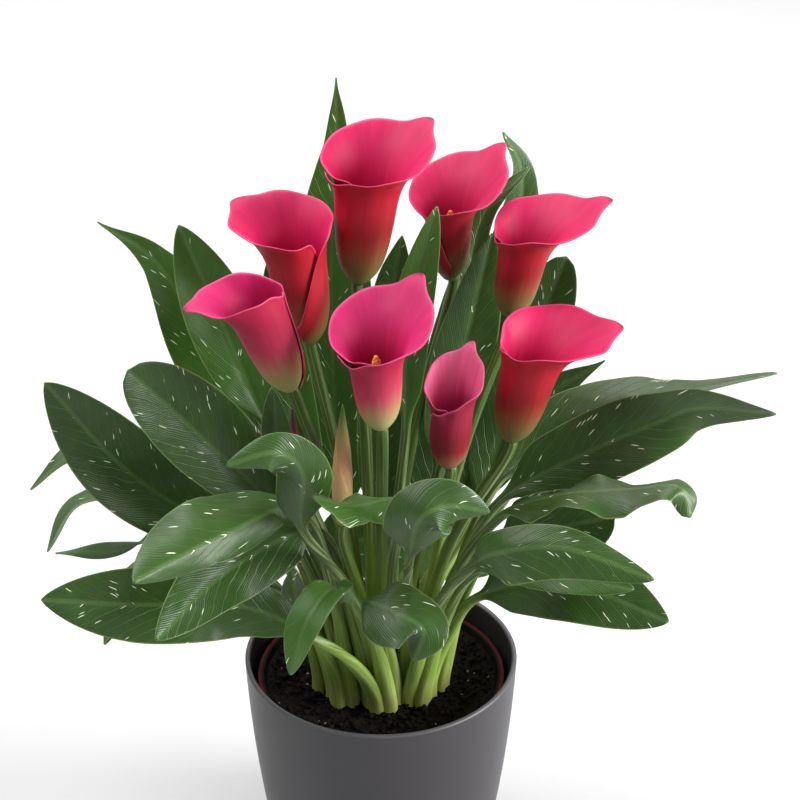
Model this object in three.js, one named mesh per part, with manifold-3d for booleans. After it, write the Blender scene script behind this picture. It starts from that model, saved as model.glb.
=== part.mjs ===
import * as THREE from "three";
import { mergeVertices } from "three/addons/utils/BufferGeometryUtils.js";
import Module from "manifold-3d";

// A potted calla lily: a matt cover pot, a thin grow pot with soil, 35 leaves, 8 blooms and 2 buds.
// Millimetres, +Z up, the plant's front is -Y, the origin is the middle of the cover pot's underside.

// Driving dimensions of the pots and the soil
const POT_HEIGHT = 140;
const POT_RIM_RADIUS = 77.5;
const POT_WALL = 3;
const POT_FLOOR = 4;
const POT_FOOT_ROUNDING = 6;
const POT_TAPER = 0.045;
const POT_BELLY = 0.00054;
const LIP_ROUNDING = 0.9;
const GROW_POT_HEIGHT = 123;
const GROW_POT_RIM_RADIUS = 70.5;
const GROW_POT_RIM_WIDTH = 3.2;
const GROW_POT_RIM_DEPTH = 5;
const GROW_POT_TOP_RADIUS = 67.5;
const GROW_POT_FOOT_RADIUS = 50;
const GROW_POT_WALL = 1.4;
const DRAIN_HOLE_RADIUS = 5;
const DRAIN_HOLE_CIRCLE = 32;
const DRAIN_HOLES = 6;
const SOIL_LEVEL = 121;
const SOIL_LUMP = 1.1;
const SOIL_CLEARANCE = 0.8;
const REST_GAP = 0.3;
const ROUND_SEGMENTS = 36;

// Driving dimensions of the stalks in the soil: staggered rows, front row first
const ROW_FRONT_Y = -28;
const ROW_STEP = 7.6;
const COLUMN_STEP = 8.6;
const MIDDLE_COLUMN = 4.5;
const STALK_DEPTH = 14;
const STALK_COLLAR = 10;
const HOLE_CLEARANCE = 0.3;
const HOLE_SIDES = 8;
const HOLE_EXTRA_DEPTH = 1;

// Driving dimensions of the leaves
const PETIOLE_FOOT_RADIUS = 3.5;
const PETIOLE_NECK_RADIUS = 2.7;
const BLADE_THICKNESS = 1;
const BLADE_TIP_HALF_WIDTH = 0.8;
const MIDRIB_DEPTH = 1.5;
const PETIOLE_LEAN = 0.4;
const PETIOLE_RISE = 0.6;
const NECK_STEP = 3;
const FACE_TURN = [1.5, 3.6];
const BLADE_START = 0.2;
const BLADE_STATIONS = [0.07, 0.18, 0.32, 0.47, 0.62, 0.77, 0.9, 1];
const BLADE_COLUMNS = [-1, -0.5, 0, 0.5, 1];
const COLUMN_WIDTH = 0.5;
const RIGHT_RIM_PHASE = 1.9;
const RIM_WAVE_END = 1.1;

// Driving dimensions of the blooms
const STEM_FOOT_RADIUS = 3.5;
const STEM_TOP_RADIUS = 3.1;
const STEM_SIDES = 8;
const SPADIX_RADIUS = 2.9;
const SPADIX_STALK_RADIUS = 2.2;
const SPATHE_THICKNESS = 1;
const SPATHE_OVERLAP_GAP = 1.7;
const SPATHE_COLLAR_GAP = 0.6;
const SPATHE_TURNS = [0, 0.045, 0.115, 0.24, 0.37, 0.5, 0.63, 0.76, 0.88, 1];
const SPATHE_RISES = [0, 0.09, 0.32, 0.62, 0.84, 1];
const SPATHE_STEPS = 60;
const SPATHE_FOOT_SLOPE = 40;
const SPATHE_FOOT_SHARE = 0.2;
const SPATHE_SLOPE_PER_THROAT = 0.28;
const SPATHE_FLARE_START = 0.72;
const SPATHE_FLARE_LENGTH = 26;
const TIP_HOOK = 45;
const TIP_HOOK_WIDTH = 18;
const TIP_POINT = 0.24;
const TIP_POINT_WIDTH = 13;
const MARGIN_DROP = 0.8;
const MARGIN_FOOT = 4;
const STEM_TOP_LENGTH = 12;

// How a blade runs out to its tip: the greater the number, the longer and thinner the tip
const BLUNT = 0.5;
const PLAIN = 0.8;
const LONG = 1.5;

// Where leaf faces look
const FRONT_UP = [0, -0.8, 0.6];
const UP = [0, 0, 1];

// Every leaf: the stalk's [row, column] in the soil, the blade's middle line from neck to tip,
// the greatest half width, where it lies along the blade, the tip's form, the way the upper face looks,
// the roll in degrees at each point of the middle line, the fold and the rim curl in degrees,
// the wave of the rim in millimetres with its number of crests and phase, and how much wider
// than the left half the right half is.
const LEAVES = [
  { name: "leaf_left_1", slot: [4, 2],
    line: [[-66, 23, 268], [-96, 46, 316], [-124, 65, 358], [-155, 71, 379]],
    half: 22, widest: 0.32, taper: LONG, face: FRONT_UP, roll: [0, 0, 10, 20], fold: 10, curl: 10,
    wave: 3, crests: 2, phase: 0, skew: 0 },
  { name: "leaf_left_2", slot: [4, 3], line: [[-61, 8, 284], [-84, 25, 337], [-108, 43, 391]],
    half: 19, widest: 0.5, taper: PLAIN, face: FRONT_UP, roll: [0, 0, 0], fold: 12, curl: 5,
    wave: 1.5, crests: 1.5, phase: 1, skew: 0 },
  { name: "leaf_left_3", slot: [2, 2], line: [[-56, -8, 241], [-96, -19, 296], [-131, -34, 345]],
    half: 23, widest: 0.52, taper: BLUNT, face: FRONT_UP, roll: [0, 0, 0], fold: 8, curl: -6,
    wave: 2, crests: 1.5, phase: 0, skew: 0.1 },
  { name: "leaf_left_4", slot: [3, 1],
    line: [[-53, 3, 212], [-100, 9, 226], [-141, 3, 263], [-178, -12, 325]],
    half: 23, widest: 0.55, taper: PLAIN, face: FRONT_UP, roll: [0, 0, 0, 0], fold: 8, curl: 0,
    wave: 2, crests: 1.5, phase: 2, skew: 0 },
  { name: "leaf_left_5", slot: [5, 1],
    line: [[-76, 54, 196], [-134, 70, 230], [-173, 65, 235], [-202, 59, 213]],
    half: 15, widest: 0.35, taper: PLAIN, face: UP, roll: [0, 0, 0, 0], fold: 15, curl: 0,
    wave: 2, crests: 2, phase: 1, skew: 0 },
  { name: "leaf_left_6", slot: [4, 1],
    line: [[-86, 27, 196], [-130, 28, 223], [-168, 19, 229], [-187, 8, 204]],
    half: 17, widest: 0.5, taper: PLAIN, face: UP, roll: [0, 10, 20, 20], fold: 12, curl: 0,
    wave: 1, crests: 2, phase: 0, skew: 0 },
  { name: "leaf_left_7", slot: [2, 1],
    line: [[-61, -11, 219], [-114, -31, 239], [-145, -37, 235], [-175, -40, 235]],
    half: 16, widest: 0.35, taper: LONG, face: UP, roll: [0, 0, 70, 160], fold: 5, curl: 0,
    wave: 1, crests: 1, phase: 0, skew: 0 },
  { name: "leaf_left_8", slot: [1, 2], line: [[-42, -50, 270], [-81, -93, 280], [-123, -130, 277]],
    half: 22, widest: 0.45, taper: PLAIN, face: FRONT_UP, roll: [10, 0, -10], fold: -18, curl: -28,
    wave: 4, crests: 2, phase: 0, skew: 0.4 },
  { name: "leaf_left_9", slot: [1, 3], line: [[-34, -32, 244], [-79, -61, 239], [-116, -108, 226]],
    half: 19, widest: 0.42, taper: PLAIN, face: FRONT_UP, roll: [0, 0, 0], fold: 8, curl: 0,
    wave: 2, crests: 1.5, phase: 1, skew: 0 },
  { name: "leaf_left_10", slot: [0, 4],
    line: [[-34, -56, 189], [-73, -59, 213], [-134, -71, 223], [-178, -81, 233]],
    half: 21, widest: 0.55, taper: PLAIN, face: FRONT_UP, roll: [0, 0, 0, 0], fold: 5, curl: -12,
    wave: 3, crests: 2.5, phase: 0, skew: 0 },
  { name: "leaf_left_11", slot: [3, 0],
    line: [[-48, -4, 180], [-99, -18, 208], [-132, -31, 211], [-151, -46, 179]],
    half: 17, widest: 0.45, taper: PLAIN, face: UP, roll: [0, 0, 0, 0], fold: 10, curl: 0,
    wave: 2, crests: 2, phase: 0, skew: 0 },
  { name: "leaf_left_12", slot: [1, 4],
    line: [[-40, -62, 264], [-39, -78, 309], [-52, -88, 328], [-77, -94, 324]],
    half: 15, widest: 0.36, taper: PLAIN, face: [0, -1, 0.4], roll: [0, 0, 0, 0], fold: -8, curl: -18,
    wave: 3, crests: 1.5, phase: 0, skew: 0 },
  { name: "leaf_left_13", slot: [2, 3], line: [[-50, -22, 268], [-55, -22, 301], [-57, -19, 326]],
    half: 9, widest: 0.4, taper: PLAIN, face: FRONT_UP, roll: [0, 0, 0], fold: 20, curl: 0,
    wave: 0.5, crests: 1, phase: 0, skew: 0 },
  { name: "leaf_front_1", slot: [2, 5], line: [[10, -56, 277], [-14, -74, 287], [-34, -84, 299]],
    half: 15, widest: 0.5, taper: PLAIN, face: UP, roll: [0, 0, 0], fold: -10, curl: -15,
    wave: 3, crests: 2.5, phase: 0, skew: 0 },
  { name: "leaf_front_2", slot: [2, 6],
    line: [[16, -80, 260], [21, -95, 292], [36, -91, 298], [57, -83, 289]],
    half: 18, widest: 0.36, taper: PLAIN, face: [0, -1, 0.5], roll: [0, 0, 10, 20], fold: -8, curl: -20,
    wave: 3, crests: 1.5, phase: 0, skew: 0 },
  { name: "leaf_front_3", slot: [1, 5],
    line: [[-7, -70, 223], [8, -88, 230], [23, -96, 224], [18, -100, 207]],
    half: 19, widest: 0.38, taper: PLAIN, face: [0, -0.6, 0.8], roll: [0, 0, 0, 0], fold: -6, curl: -14,
    wave: 3, crests: 1.5, phase: 0, skew: 0 },
  { name: "leaf_front_4", slot: [0, 5],
    line: [[-15, -57, 216], [-26, -74, 234], [-39, -90, 223], [-47, -97, 196]],
    half: 11, widest: 0.5, taper: PLAIN, face: [-0.4, -0.6, 0.7], roll: [0, 0, 0, 0], fold: 15, curl: 0,
    wave: 1, crests: 1, phase: 0, skew: 0 },
  { name: "leaf_front_5", slot: [1, 1], line: [[-38, -33, 179], [-46, -37, 205], [-47, -43, 227]],
    half: 8, widest: 0.45, taper: PLAIN, face: FRONT_UP, roll: [0, 0, 0], fold: 15, curl: 0,
    wave: 1, crests: 1, phase: 0, skew: 0 },
  { name: "leaf_right_1", slot: [4, 8],
    line: [[66, 18, 245], [100, 31, 268], [133, 34, 286], [160, 28, 295], [216, 19, 313]],
    half: 20, widest: 0.3, taper: BLUNT, face: FRONT_UP, roll: [0, 0, -45, -70, -75], fold: 5, curl: 0,
    wave: 2, crests: 2, phase: 0, skew: 0 },
  { name: "leaf_right_2", slot: [3, 7],
    line: [[66, -6, 247], [111, -12, 281], [147, -19, 304], [170, -23, 316], [209, -31, 317]],
    half: 20, widest: 0.38, taper: PLAIN, face: FRONT_UP, roll: [0, 0, 10, 45, 60], fold: 5, curl: 0,
    wave: 2, crests: 2, phase: 0, skew: 0 },
  { name: "leaf_right_3", slot: [2, 7],
    line: [[63, -49, 263], [92, -62, 286], [130, -67, 293], [155, -73, 298], [161, -79, 283]],
    half: 15, widest: 0.5, taper: BLUNT, face: UP, roll: [0, 0, 0, 0, 0], fold: -10, curl: -15,
    wave: 5, crests: 2.5, phase: 0, skew: 0 },
  { name: "leaf_right_4", slot: [3, 8], line: [[66, -30, 239], [97, -43, 254], [125, -48, 264]],
    half: 20, widest: 0.5, taper: BLUNT, face: FRONT_UP, roll: [0, 0, 0], fold: 5, curl: 0,
    wave: 2, crests: 1.5, phase: 0, skew: 0 },
  { name: "leaf_right_5", slot: [1, 6],
    line: [[48, -83, 255], [62, -105, 279], [95, -115, 288], [139, -124, 275]],
    half: 15, widest: 0.38, taper: PLAIN, face: FRONT_UP, roll: [0, 0, 0, 0], fold: -12, curl: 0,
    wave: 2, crests: 2, phase: 0, skew: 0.2 },
  { name: "leaf_right_6", slot: [1, 7], line: [[53, -55, 234], [90, -72, 244], [133, -87, 244]],
    half: 10, widest: 0.5, taper: PLAIN, face: FRONT_UP, roll: [0, 0, 0], fold: 10, curl: 0,
    wave: 1, crests: 1.5, phase: 0, skew: 0 },
  { name: "leaf_right_7", slot: [2, 8], line: [[54, -25, 196], [97, -52, 225], [154, -74, 214]],
    half: 21, widest: 0.5, taper: PLAIN, face: FRONT_UP, roll: [0, 0, 0], fold: 5, curl: -5,
    wave: 2, crests: 1.5, phase: 0, skew: 0 },
  { name: "leaf_back_1", slot: [6, 3],
    line: [[-22, 40, 188], [-28, 81, 321], [-24, 102, 413], [-24, 102, 451]],
    half: 25, widest: 0.42, taper: LONG, face: FRONT_UP, roll: [0, 0, 0, 0], fold: 10, curl: 0,
    wave: 2, crests: 2, phase: 0, skew: 0 },
  { name: "leaf_back_2", slot: [5, 2], line: [[-38, 28, 215], [-55, 47, 327], [-58, 54, 376]],
    half: 13, widest: 0.4, taper: PLAIN, face: FRONT_UP, roll: [0, 0, 0], fold: 15, curl: 0,
    wave: 1, crests: 1, phase: 0, skew: 0 },
  { name: "leaf_back_3", slot: [4, 5], line: [[14, 12, 281], [17, 12, 350], [30, 6, 420]],
    half: 11, widest: 0.5, taper: PLAIN, face: FRONT_UP, roll: [0, 0, 0], fold: 18, curl: 0,
    wave: 1, crests: 1, phase: 0, skew: 0 },
  { name: "leaf_back_4", slot: [6, 4], line: [[1, 36, 200], [6, 53, 327], [12, 56, 378]],
    half: 17, widest: 0.42, taper: PLAIN, face: FRONT_UP, roll: [0, 0, 0], fold: 12, curl: 0,
    wave: 1, crests: 1, phase: 0, skew: 0 },
  { name: "leaf_back_5", slot: [6, 6], line: [[42, 50, 195], [68, 102, 314], [80, 118, 379], [68, 112, 414]],
    half: 18, widest: 0.32, taper: PLAIN, face: FRONT_UP, roll: [0, 0, 20, 40], fold: 10, curl: 0,
    wave: 2, crests: 2, phase: 0, skew: 0 },
  { name: "leaf_back_6", slot: [5, 5], line: [[43, 59, 260], [48, 74, 329], [58, 90, 374], [83, 102, 398]],
    half: 7, widest: 0.5, taper: PLAIN, face: FRONT_UP, roll: [0, 0, 0, 0], fold: 15, curl: 0,
    wave: 1, crests: 1, phase: 0, skew: 0 },
  { name: "leaf_back_7", slot: [4, 6], line: [[31, 29, 241], [44, 43, 306], [61, 57, 379]],
    half: 17, widest: 0.5, taper: PLAIN, face: FRONT_UP, roll: [0, 15, 25], fold: 12, curl: 0,
    wave: 2, crests: 1.5, phase: 0, skew: 0 },
  { name: "leaf_back_8", slot: [6, 5], line: [[24, 46, 195], [45, 84, 311], [59, 96, 366]],
    half: 16, widest: 0.42, taper: PLAIN, face: FRONT_UP, roll: [0, 0, 0], fold: 12, curl: 0,
    wave: 2, crests: 1.5, phase: 0, skew: 0 },
  { name: "leaf_back_9", slot: [5, 6], line: [[54, 44, 207], [86, 81, 299], [104, 88, 349]],
    half: 19, widest: 0.55, taper: BLUNT, face: FRONT_UP, roll: [0, 0, 0], fold: 10, curl: 0,
    wave: 2, crests: 1.5, phase: 0, skew: 0 },
  { name: "leaf_back_10", slot: [5, 7], line: [[79, 34, 239], [95, 57, 275], [126, 62, 297]],
    half: 11, widest: 0.4, taper: LONG, face: FRONT_UP, roll: [0, 0, 0], fold: 10, curl: 0,
    wave: 1, crests: 1, phase: 0, skew: 0 },
  { name: "leaf_back_11", slot: [6, 2],
    line: [[-38, 46, 165], [-16, 58, 178], [22, 64, 176], [68, 58, 158]],
    half: 26, widest: 0.45, taper: PLAIN, face: [0, -0.9, 0.45], roll: [0, 0, 0, 0], fold: 8, curl: 0,
    wave: 2, crests: 1.5, phase: 0, skew: 0 },
];

// Every bloom: the stem's [row, column] in the soil, where the spathe starts, the way its tube leans,
// the tube's length, the spadix's share of it, the throat's radius, how far the limb reaches past the
// tube at its tip and at its low side, the compass angle of the tip (0 is right, 90 is back), the flare
// of both sides in degrees, the way that it wraps, how far it wraps from the tip to each margin, and the
// run of the margin's drop.
const BLOOMS = [
  { name: "flower_1", slot: [4, 4], base: [-11, 34, 363], lean: [0.09, 0.02, 1],
    tube: 57, spadix: 0.85, throat: 11.5, tipReach: 32, lowReach: 9, tipAngle: 40, tipFlare: 36, lowFlare: 60,
    turn: -1, wrap: 250, marginRun: 50 },
  { name: "flower_2", slot: [5, 4], base: [39, 62, 351], lean: [-0.02, 0.05, 1],
    tube: 32, spadix: 1.2, throat: 12.5, tipReach: 38, lowReach: 10, tipAngle: 40, tipFlare: 38, lowFlare: 78,
    turn: 1, wrap: 230, marginRun: 65 },
  { name: "flower_3", slot: [4, 7], base: [71, 33, 343], lean: [0.18, 0.05, 1],
    tube: 36, spadix: 1.05, throat: 11, tipReach: 38, lowReach: 9, tipAngle: 12, tipFlare: 42, lowFlare: 66,
    turn: -1, wrap: 230, marginRun: 45 },
  { name: "flower_4", slot: [5, 3], base: [-38, 22, 333], lean: [-0.14, 0, 1],
    tube: 57, spadix: 0.85, throat: 9.5, tipReach: 26, lowReach: 8, tipAngle: 140, tipFlare: 50, lowFlare: 48,
    turn: -1, wrap: 250, marginRun: 95 },
  { name: "flower_5", slot: [3, 3], base: [-46, -31, 333], lean: [-0.34, -0.06, 1],
    tube: 49, spadix: 0.8, throat: 9, tipReach: 24, lowReach: 7, tipAngle: 198, tipFlare: 50, lowFlare: 16,
    turn: -1, wrap: 210, marginRun: 45 },
  { name: "flower_6", slot: [3, 4], base: [1, -50, 322], lean: [-0.06, -0.04, 1],
    tube: 38, spadix: 1.1, throat: 11.5, tipReach: 36, lowReach: 9, tipAngle: 50, tipFlare: 38, lowFlare: 68,
    turn: -1, wrap: 255, marginRun: 45 },
  { name: "flower_7", slot: [3, 5], base: [37, -39, 292], lean: [0.02, 0, 1],
    tube: 32, spadix: 0.85, throat: 6.5, tipReach: 28, lowReach: 4, tipAngle: 60, tipFlare: 16, lowFlare: 32,
    turn: -1, wrap: 250, marginRun: 60 },
  { name: "flower_8", slot: [3, 6], base: [70, -25, 299], lean: [0.22, 0.02, 1],
    tube: 47, spadix: 0.9, throat: 11.5, tipReach: 33, lowReach: 8, tipAngle: 14, tipFlare: 52, lowFlare: 50,
    turn: -1, wrap: 230, marginRun: 45 },
];

// Every bud: the stem's [row, column] in the soil, where the rolled spathe starts, its length and radius
const BUDS = [
  { name: "bud_1", slot: [2, 4], base: [-20, -35, 251], lean: [0.01, 0, 1], length: 74, radius: 5.9 },
  { name: "bud_2", slot: [3, 2], base: [-44, -6, 244], lean: [-0.05, 0, 1], length: 62, radius: 4.6 },
];

// A bud's outline: shares of its length and of its radius
const BUD_OUTLINE = [
  [0, 0.55], [0.08, 0.85], [0.25, 1], [0.45, 0.95], [0.65, 0.72], [0.82, 0.42], [0.94, 0.2], [1, 0.08],
];

// Colours and finishes
const POT_PLASTIC = { color: 0x565457, roughness: 0.5, metalness: 0 };
const GROW_POT_PLASTIC = { color: 0x4a2420, roughness: 0.6, metalness: 0 };
const POTTING_SOIL = { color: 0x1f1712, roughness: 1, metalness: 0 };
const LEAF_GREEN = { color: 0x35582a, roughness: 0.45, metalness: 0 };
const STEM_GREEN = { color: 0x6a8a34, roughness: 0.5, metalness: 0 };
const SPATHE_PINK = { color: 0xd8335f, roughness: 0.45, metalness: 0 };
const BUD_OLIVE = { color: 0xb08a55, roughness: 0.5, metalness: 0 };
const BUD_MAROON = { color: 0x6e2338, roughness: 0.5, metalness: 0 };

const wasm = await Module();
wasm.setup();

const vector = (list) => new THREE.Vector3(...list);
const radians = THREE.MathUtils.degToRad;

function smoothstep(low, high, value) {
  return THREE.MathUtils.smoothstep(value, low, high);
}

function bareGeometry(positions, indices) {
  const geometry = new THREE.BufferGeometry();
  geometry.setAttribute("position", new THREE.Float32BufferAttribute(positions, 3));
  geometry.setIndex(indices);
  return geometry;
}

function signedVolume(points, indices) {
  let volume = 0;
  const cross = new THREE.Vector3();
  for (let i = 0; i < indices.length; i += 3) {
    cross.crossVectors(points[indices[i + 1]], points[indices[i + 2]]);
    volume += points[indices[i]].dot(cross) / 6;
  }
  return volume;
}

// A closed solid through rings of points. The first half of a ring is its upper face and the second half
// its lower face in reverse, and both faces are split along the same diagonals.
function loftSolid(rings) {
  const count = rings[0].length;
  const half = count / 2;
  const points = rings.flat();
  const indices = [];
  for (let k = 0; k + 1 < rings.length; k++) {
    for (let i = 0; i < count; i++) {
      const next = (i + 1) % count;
      const a = k * count + i;
      const b = k * count + next;
      const c = a + count;
      const d = b + count;
      if (i < half) indices.push(a, b, d, a, d, c);
      else indices.push(a, b, c, b, d, c);
    }
  }
  const last = (rings.length - 1) * count;
  for (let i = 0; i + 1 < half; i++) {
    const mate = count - 1 - i;
    indices.push(i, mate, i + 1, i + 1, mate, mate - 1);
    indices.push(last + i, last + i + 1, last + mate, last + i + 1, last + mate - 1, last + mate);
  }
  if (signedVolume(points, indices) < 0) indices.reverse();
  return bareGeometry(points.flatMap((point) => point.toArray()), indices);
}

function toManifold(geometry) {
  const bare = bareGeometry(geometry.getAttribute("position").array, Array.from(
    geometry.index ? geometry.index.array : geometry.getAttribute("position").array.keys()));
  const merged = mergeVertices(bare, 1e-4);
  return new wasm.Manifold(new wasm.Mesh({
    numProp: 3,
    vertProperties: new Float32Array(merged.getAttribute("position").array),
    triVerts: new Uint32Array(merged.index.array),
  }));
}

function fromManifold(solid) {
  const mesh = solid.getMesh();
  return bareGeometry(Array.from(mesh.vertProperties), Array.from(mesh.triVerts));
}

// The middle of a stalk where it leaves the soil
function stalkRoot([row, column]) {
  const stagger = row % 2 === 1 ? COLUMN_STEP / 2 : 0;
  const x = (column - MIDDLE_COLUMN) * COLUMN_STEP + stagger;
  return new THREE.Vector3(x, ROW_FRONT_Y + row * ROW_STEP, SOIL_LEVEL);
}

// A smooth line from under the soil, up through the stalk's middle, to the given points
function stalkLine(slot, line) {
  const root = stalkRoot(slot);
  const neck = vector(line[0]);
  const rise = neck.z - root.z;
  const middle = new THREE.Vector3(
    THREE.MathUtils.lerp(root.x, neck.x, PETIOLE_LEAN),
    THREE.MathUtils.lerp(root.y, neck.y, PETIOLE_LEAN),
    root.z + rise * PETIOLE_RISE,
  );
  const foot = root.clone().setZ(SOIL_LEVEL - STALK_DEPTH);
  const collar = root.clone().setZ(SOIL_LEVEL + STALK_COLLAR);
  const points = [foot, collar, middle, ...line.map(vector)];
  const curve = new THREE.CatmullRomCurve3(points, false, "catmullrom", 0.5);
  return { points, curve, at: (step) => curve.getPoint(step / (points.length - 1)) };
}

function tangentAt(path, step) {
  const last = path.points.length - 1;
  const before = path.at(Math.max(0, step - 0.01));
  const after = path.at(Math.min(last, step + 0.01));
  return after.sub(before).normalize();
}

// The step along the line's points that lies at a share of the blade's length
function bladeStep(path, share) {
  const last = path.points.length - 1;
  const lengths = [];
  for (let k = NECK_STEP; k < last; k++) lengths.push(path.points[k].distanceTo(path.points[k + 1]));
  let rest = share * lengths.reduce((sum, length) => sum + length, 0);
  for (let k = 0; k < lengths.length; k++) {
    if (rest <= lengths[k]) return NECK_STEP + k + rest / lengths[k];
    rest -= lengths[k];
  }
  return last;
}

function lerpList(values, position) {
  const low = Math.min(Math.floor(position), values.length - 2);
  return THREE.MathUtils.lerp(values[low], values[low + 1], position - low);
}

function bladeHalfWidth(leaf, share) {
  const rise = (leaf.taper * leaf.widest) / (1 - leaf.widest);
  const shape = (share / leaf.widest) ** rise * ((1 - share) / (1 - leaf.widest)) ** leaf.taper;
  const neck = PETIOLE_NECK_RADIUS * (1 - share);
  return Math.hypot(neck, leaf.half * shape) + BLADE_TIP_HALF_WIDTH * share;
}

// One ring of ten points round the leaf's middle line: round in the petiole, flat in the blade
function leafRing(leaf, path, step, share) {
  const centre = path.at(step);
  const along = tangentAt(path, step);
  const neck = path.points[NECK_STEP];
  const inward = new THREE.Vector3(-neck.x, -neck.y, 0).normalize();
  const face = inward.lerp(vector(leaf.face), smoothstep(...FACE_TURN, step));
  const normal = face.addScaledVector(along, -face.dot(along)).normalize();
  const roll = radians(lerpList(leaf.roll, Math.max(step - NECK_STEP, 0)));
  normal.applyAxisAngle(along, roll);
  const side = new THREE.Vector3().crossVectors(along, normal);
  const blade = smoothstep(0, BLADE_START, share);
  const half = bladeHalfWidth(leaf, share);
  const petiole = THREE.MathUtils.lerp(
    PETIOLE_FOOT_RADIUS, PETIOLE_NECK_RADIUS, Math.min(step / NECK_STEP, 1));
  const columns = BLADE_COLUMNS.map((column) => bladeColumn(leaf, column, half, share));
  const ring = [];
  for (let i = 0; i < 2 * columns.length; i++) {
    const upper = i < columns.length;
    const column = columns[upper ? i : 2 * columns.length - 1 - i];
    const angle = Math.PI * (1 - (i + 0.5) / columns.length);
    const depth = upper ? BLADE_THICKNESS / 2 : -BLADE_THICKNESS / 2 - column.rib;
    const flatX = column.x - Math.sin(column.angle) * depth;
    const flatZ = column.z + Math.cos(column.angle) * depth;
    const x = THREE.MathUtils.lerp(petiole * Math.cos(angle), flatX, blade);
    const z = THREE.MathUtils.lerp(petiole * Math.sin(angle), flatZ, blade);
    ring.push(centre.clone().addScaledVector(side, x).addScaledVector(normal, z));
  }
  return ring;
}

// Place and slope of one column of the blade in its cross-section
function bladeColumn(leaf, column, half, share) {
  const sign = Math.sign(column);
  const reach = Math.abs(column);
  const wide = half * (1 + sign * leaf.skew);
  let x = 0;
  let z = 0;
  for (let inner = 0; inner < reach; inner += COLUMN_WIDTH) {
    const bend = radians(leaf.fold + leaf.curl * (inner + COLUMN_WIDTH / 2));
    x += COLUMN_WIDTH * wide * Math.cos(bend);
    z += COLUMN_WIDTH * wide * Math.sin(bend);
  }
  const phase = leaf.phase + (sign > 0 ? RIGHT_RIM_PHASE : 0);
  const swing = Math.sin(2 * Math.PI * leaf.crests * share + phase);
  z += leaf.wave * reach ** 2 * swing * Math.sin(Math.PI * Math.min(share * RIM_WAVE_END, 1));
  const angle = reach === 0 ? 0 : sign * radians(leaf.fold + leaf.curl * reach);
  const rib = reach === 0 ? MIDRIB_DEPTH * (1 - share) : 0;
  return { x: sign * x, z, angle, rib };
}

function leafGeometry(leaf) {
  const path = stalkLine(leaf.slot, leaf.line);
  const rings = [];
  for (let step = 0; step <= NECK_STEP; step++) rings.push(leafRing(leaf, path, step, 0));
  for (const share of BLADE_STATIONS) rings.push(leafRing(leaf, path, bladeStep(path, share), share));
  return loftSolid(rings);
}

function roundRing(centre, along, radius, sides) {
  const side = new THREE.Vector3(1, 0, 0).addScaledVector(along, -along.x).normalize();
  const back = new THREE.Vector3().crossVectors(along, side);
  const ring = [];
  for (let i = 0; i < sides; i++) {
    const angle = (2 * Math.PI * (i + 0.5)) / sides;
    const point = centre.clone().addScaledVector(side, radius * Math.cos(angle));
    ring.push(point.addScaledVector(back, radius * Math.sin(angle)));
  }
  return ring;
}

// The stem's rings from under the soil to where the spathe starts
function stemRings(slot, base, lean) {
  const axis = vector(lean).normalize();
  const below = vector(base).addScaledVector(axis, -STEM_TOP_LENGTH);
  const path = stalkLine(slot, [below.toArray(), base]);
  return [0, 1, 2, 3, 4].map((step) => {
    const radius = THREE.MathUtils.lerp(STEM_FOOT_RADIUS, STEM_TOP_RADIUS, step / 4);
    const along = step === 4 ? axis : tangentAt(path, step);
    return roundRing(path.at(step), along, radius, STEM_SIDES);
  });
}

// The stem and the spadix that it ends in
function bloomStemGeometry(bloom) {
  const axis = vector(bloom.lean).normalize();
  const base = vector(bloom.base);
  const rings = stemRings(bloom.slot, bloom.base, bloom.lean);
  const spadix = [
    [0.08, SPADIX_STALK_RADIUS],
    [0.33, SPADIX_STALK_RADIUS],
    [0.38, SPADIX_RADIUS],
    [0.72, SPADIX_RADIUS],
    [0.92, SPADIX_RADIUS * 0.8],
    [1, SPADIX_RADIUS * 0.35],
  ];
  for (const [share, radius] of spadix) {
    const centre = base.clone().addScaledVector(axis, share * bloom.spadix * bloom.tube);
    rings.push(roundRing(centre, axis, radius, STEM_SIDES));
  }
  return loftSolid(rings);
}

// How long the spathe is at an angle from its tip
function spatheReach(bloom, degrees) {
  const rise = ((1 + Math.cos(radians(degrees))) / 2) ** 0.8;
  const point = TIP_POINT * bloom.tipReach * Math.exp(-((degrees / TIP_POINT_WIDTH) ** 2));
  const limb = THREE.MathUtils.lerp(bloom.lowReach, bloom.tipReach, rise);
  const drop = smoothstep(bloom.wrap - bloom.marginRun, bloom.wrap + MARGIN_FOOT, Math.abs(degrees));
  const margin = 1 - MARGIN_DROP * drop;
  return (bloom.tube + limb + point) * margin;
}

// The spathe's slope from its axis, in degrees, at a length from its foot
function spatheSlope(bloom, degrees, length) {
  const side = (1 - Math.cos(radians(degrees))) / 2;
  const foot = SPATHE_FOOT_SLOPE * Math.exp(-length / (SPATHE_FOOT_SHARE * bloom.tube));
  const flare = THREE.MathUtils.lerp(bloom.tipFlare, bloom.lowFlare, side);
  const open = smoothstep(SPATHE_FLARE_START * bloom.tube, bloom.tube + SPATHE_FLARE_LENGTH, length);
  const nearTip = Math.exp(-((degrees / TIP_HOOK_WIDTH) ** 2));
  const hook = TIP_HOOK * nearTip * smoothstep(0.86, 1.05, length / spatheReach(bloom, 0));
  return SPATHE_SLOPE_PER_THROAT * bloom.throat + foot + flare * open + hook;
}

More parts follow.
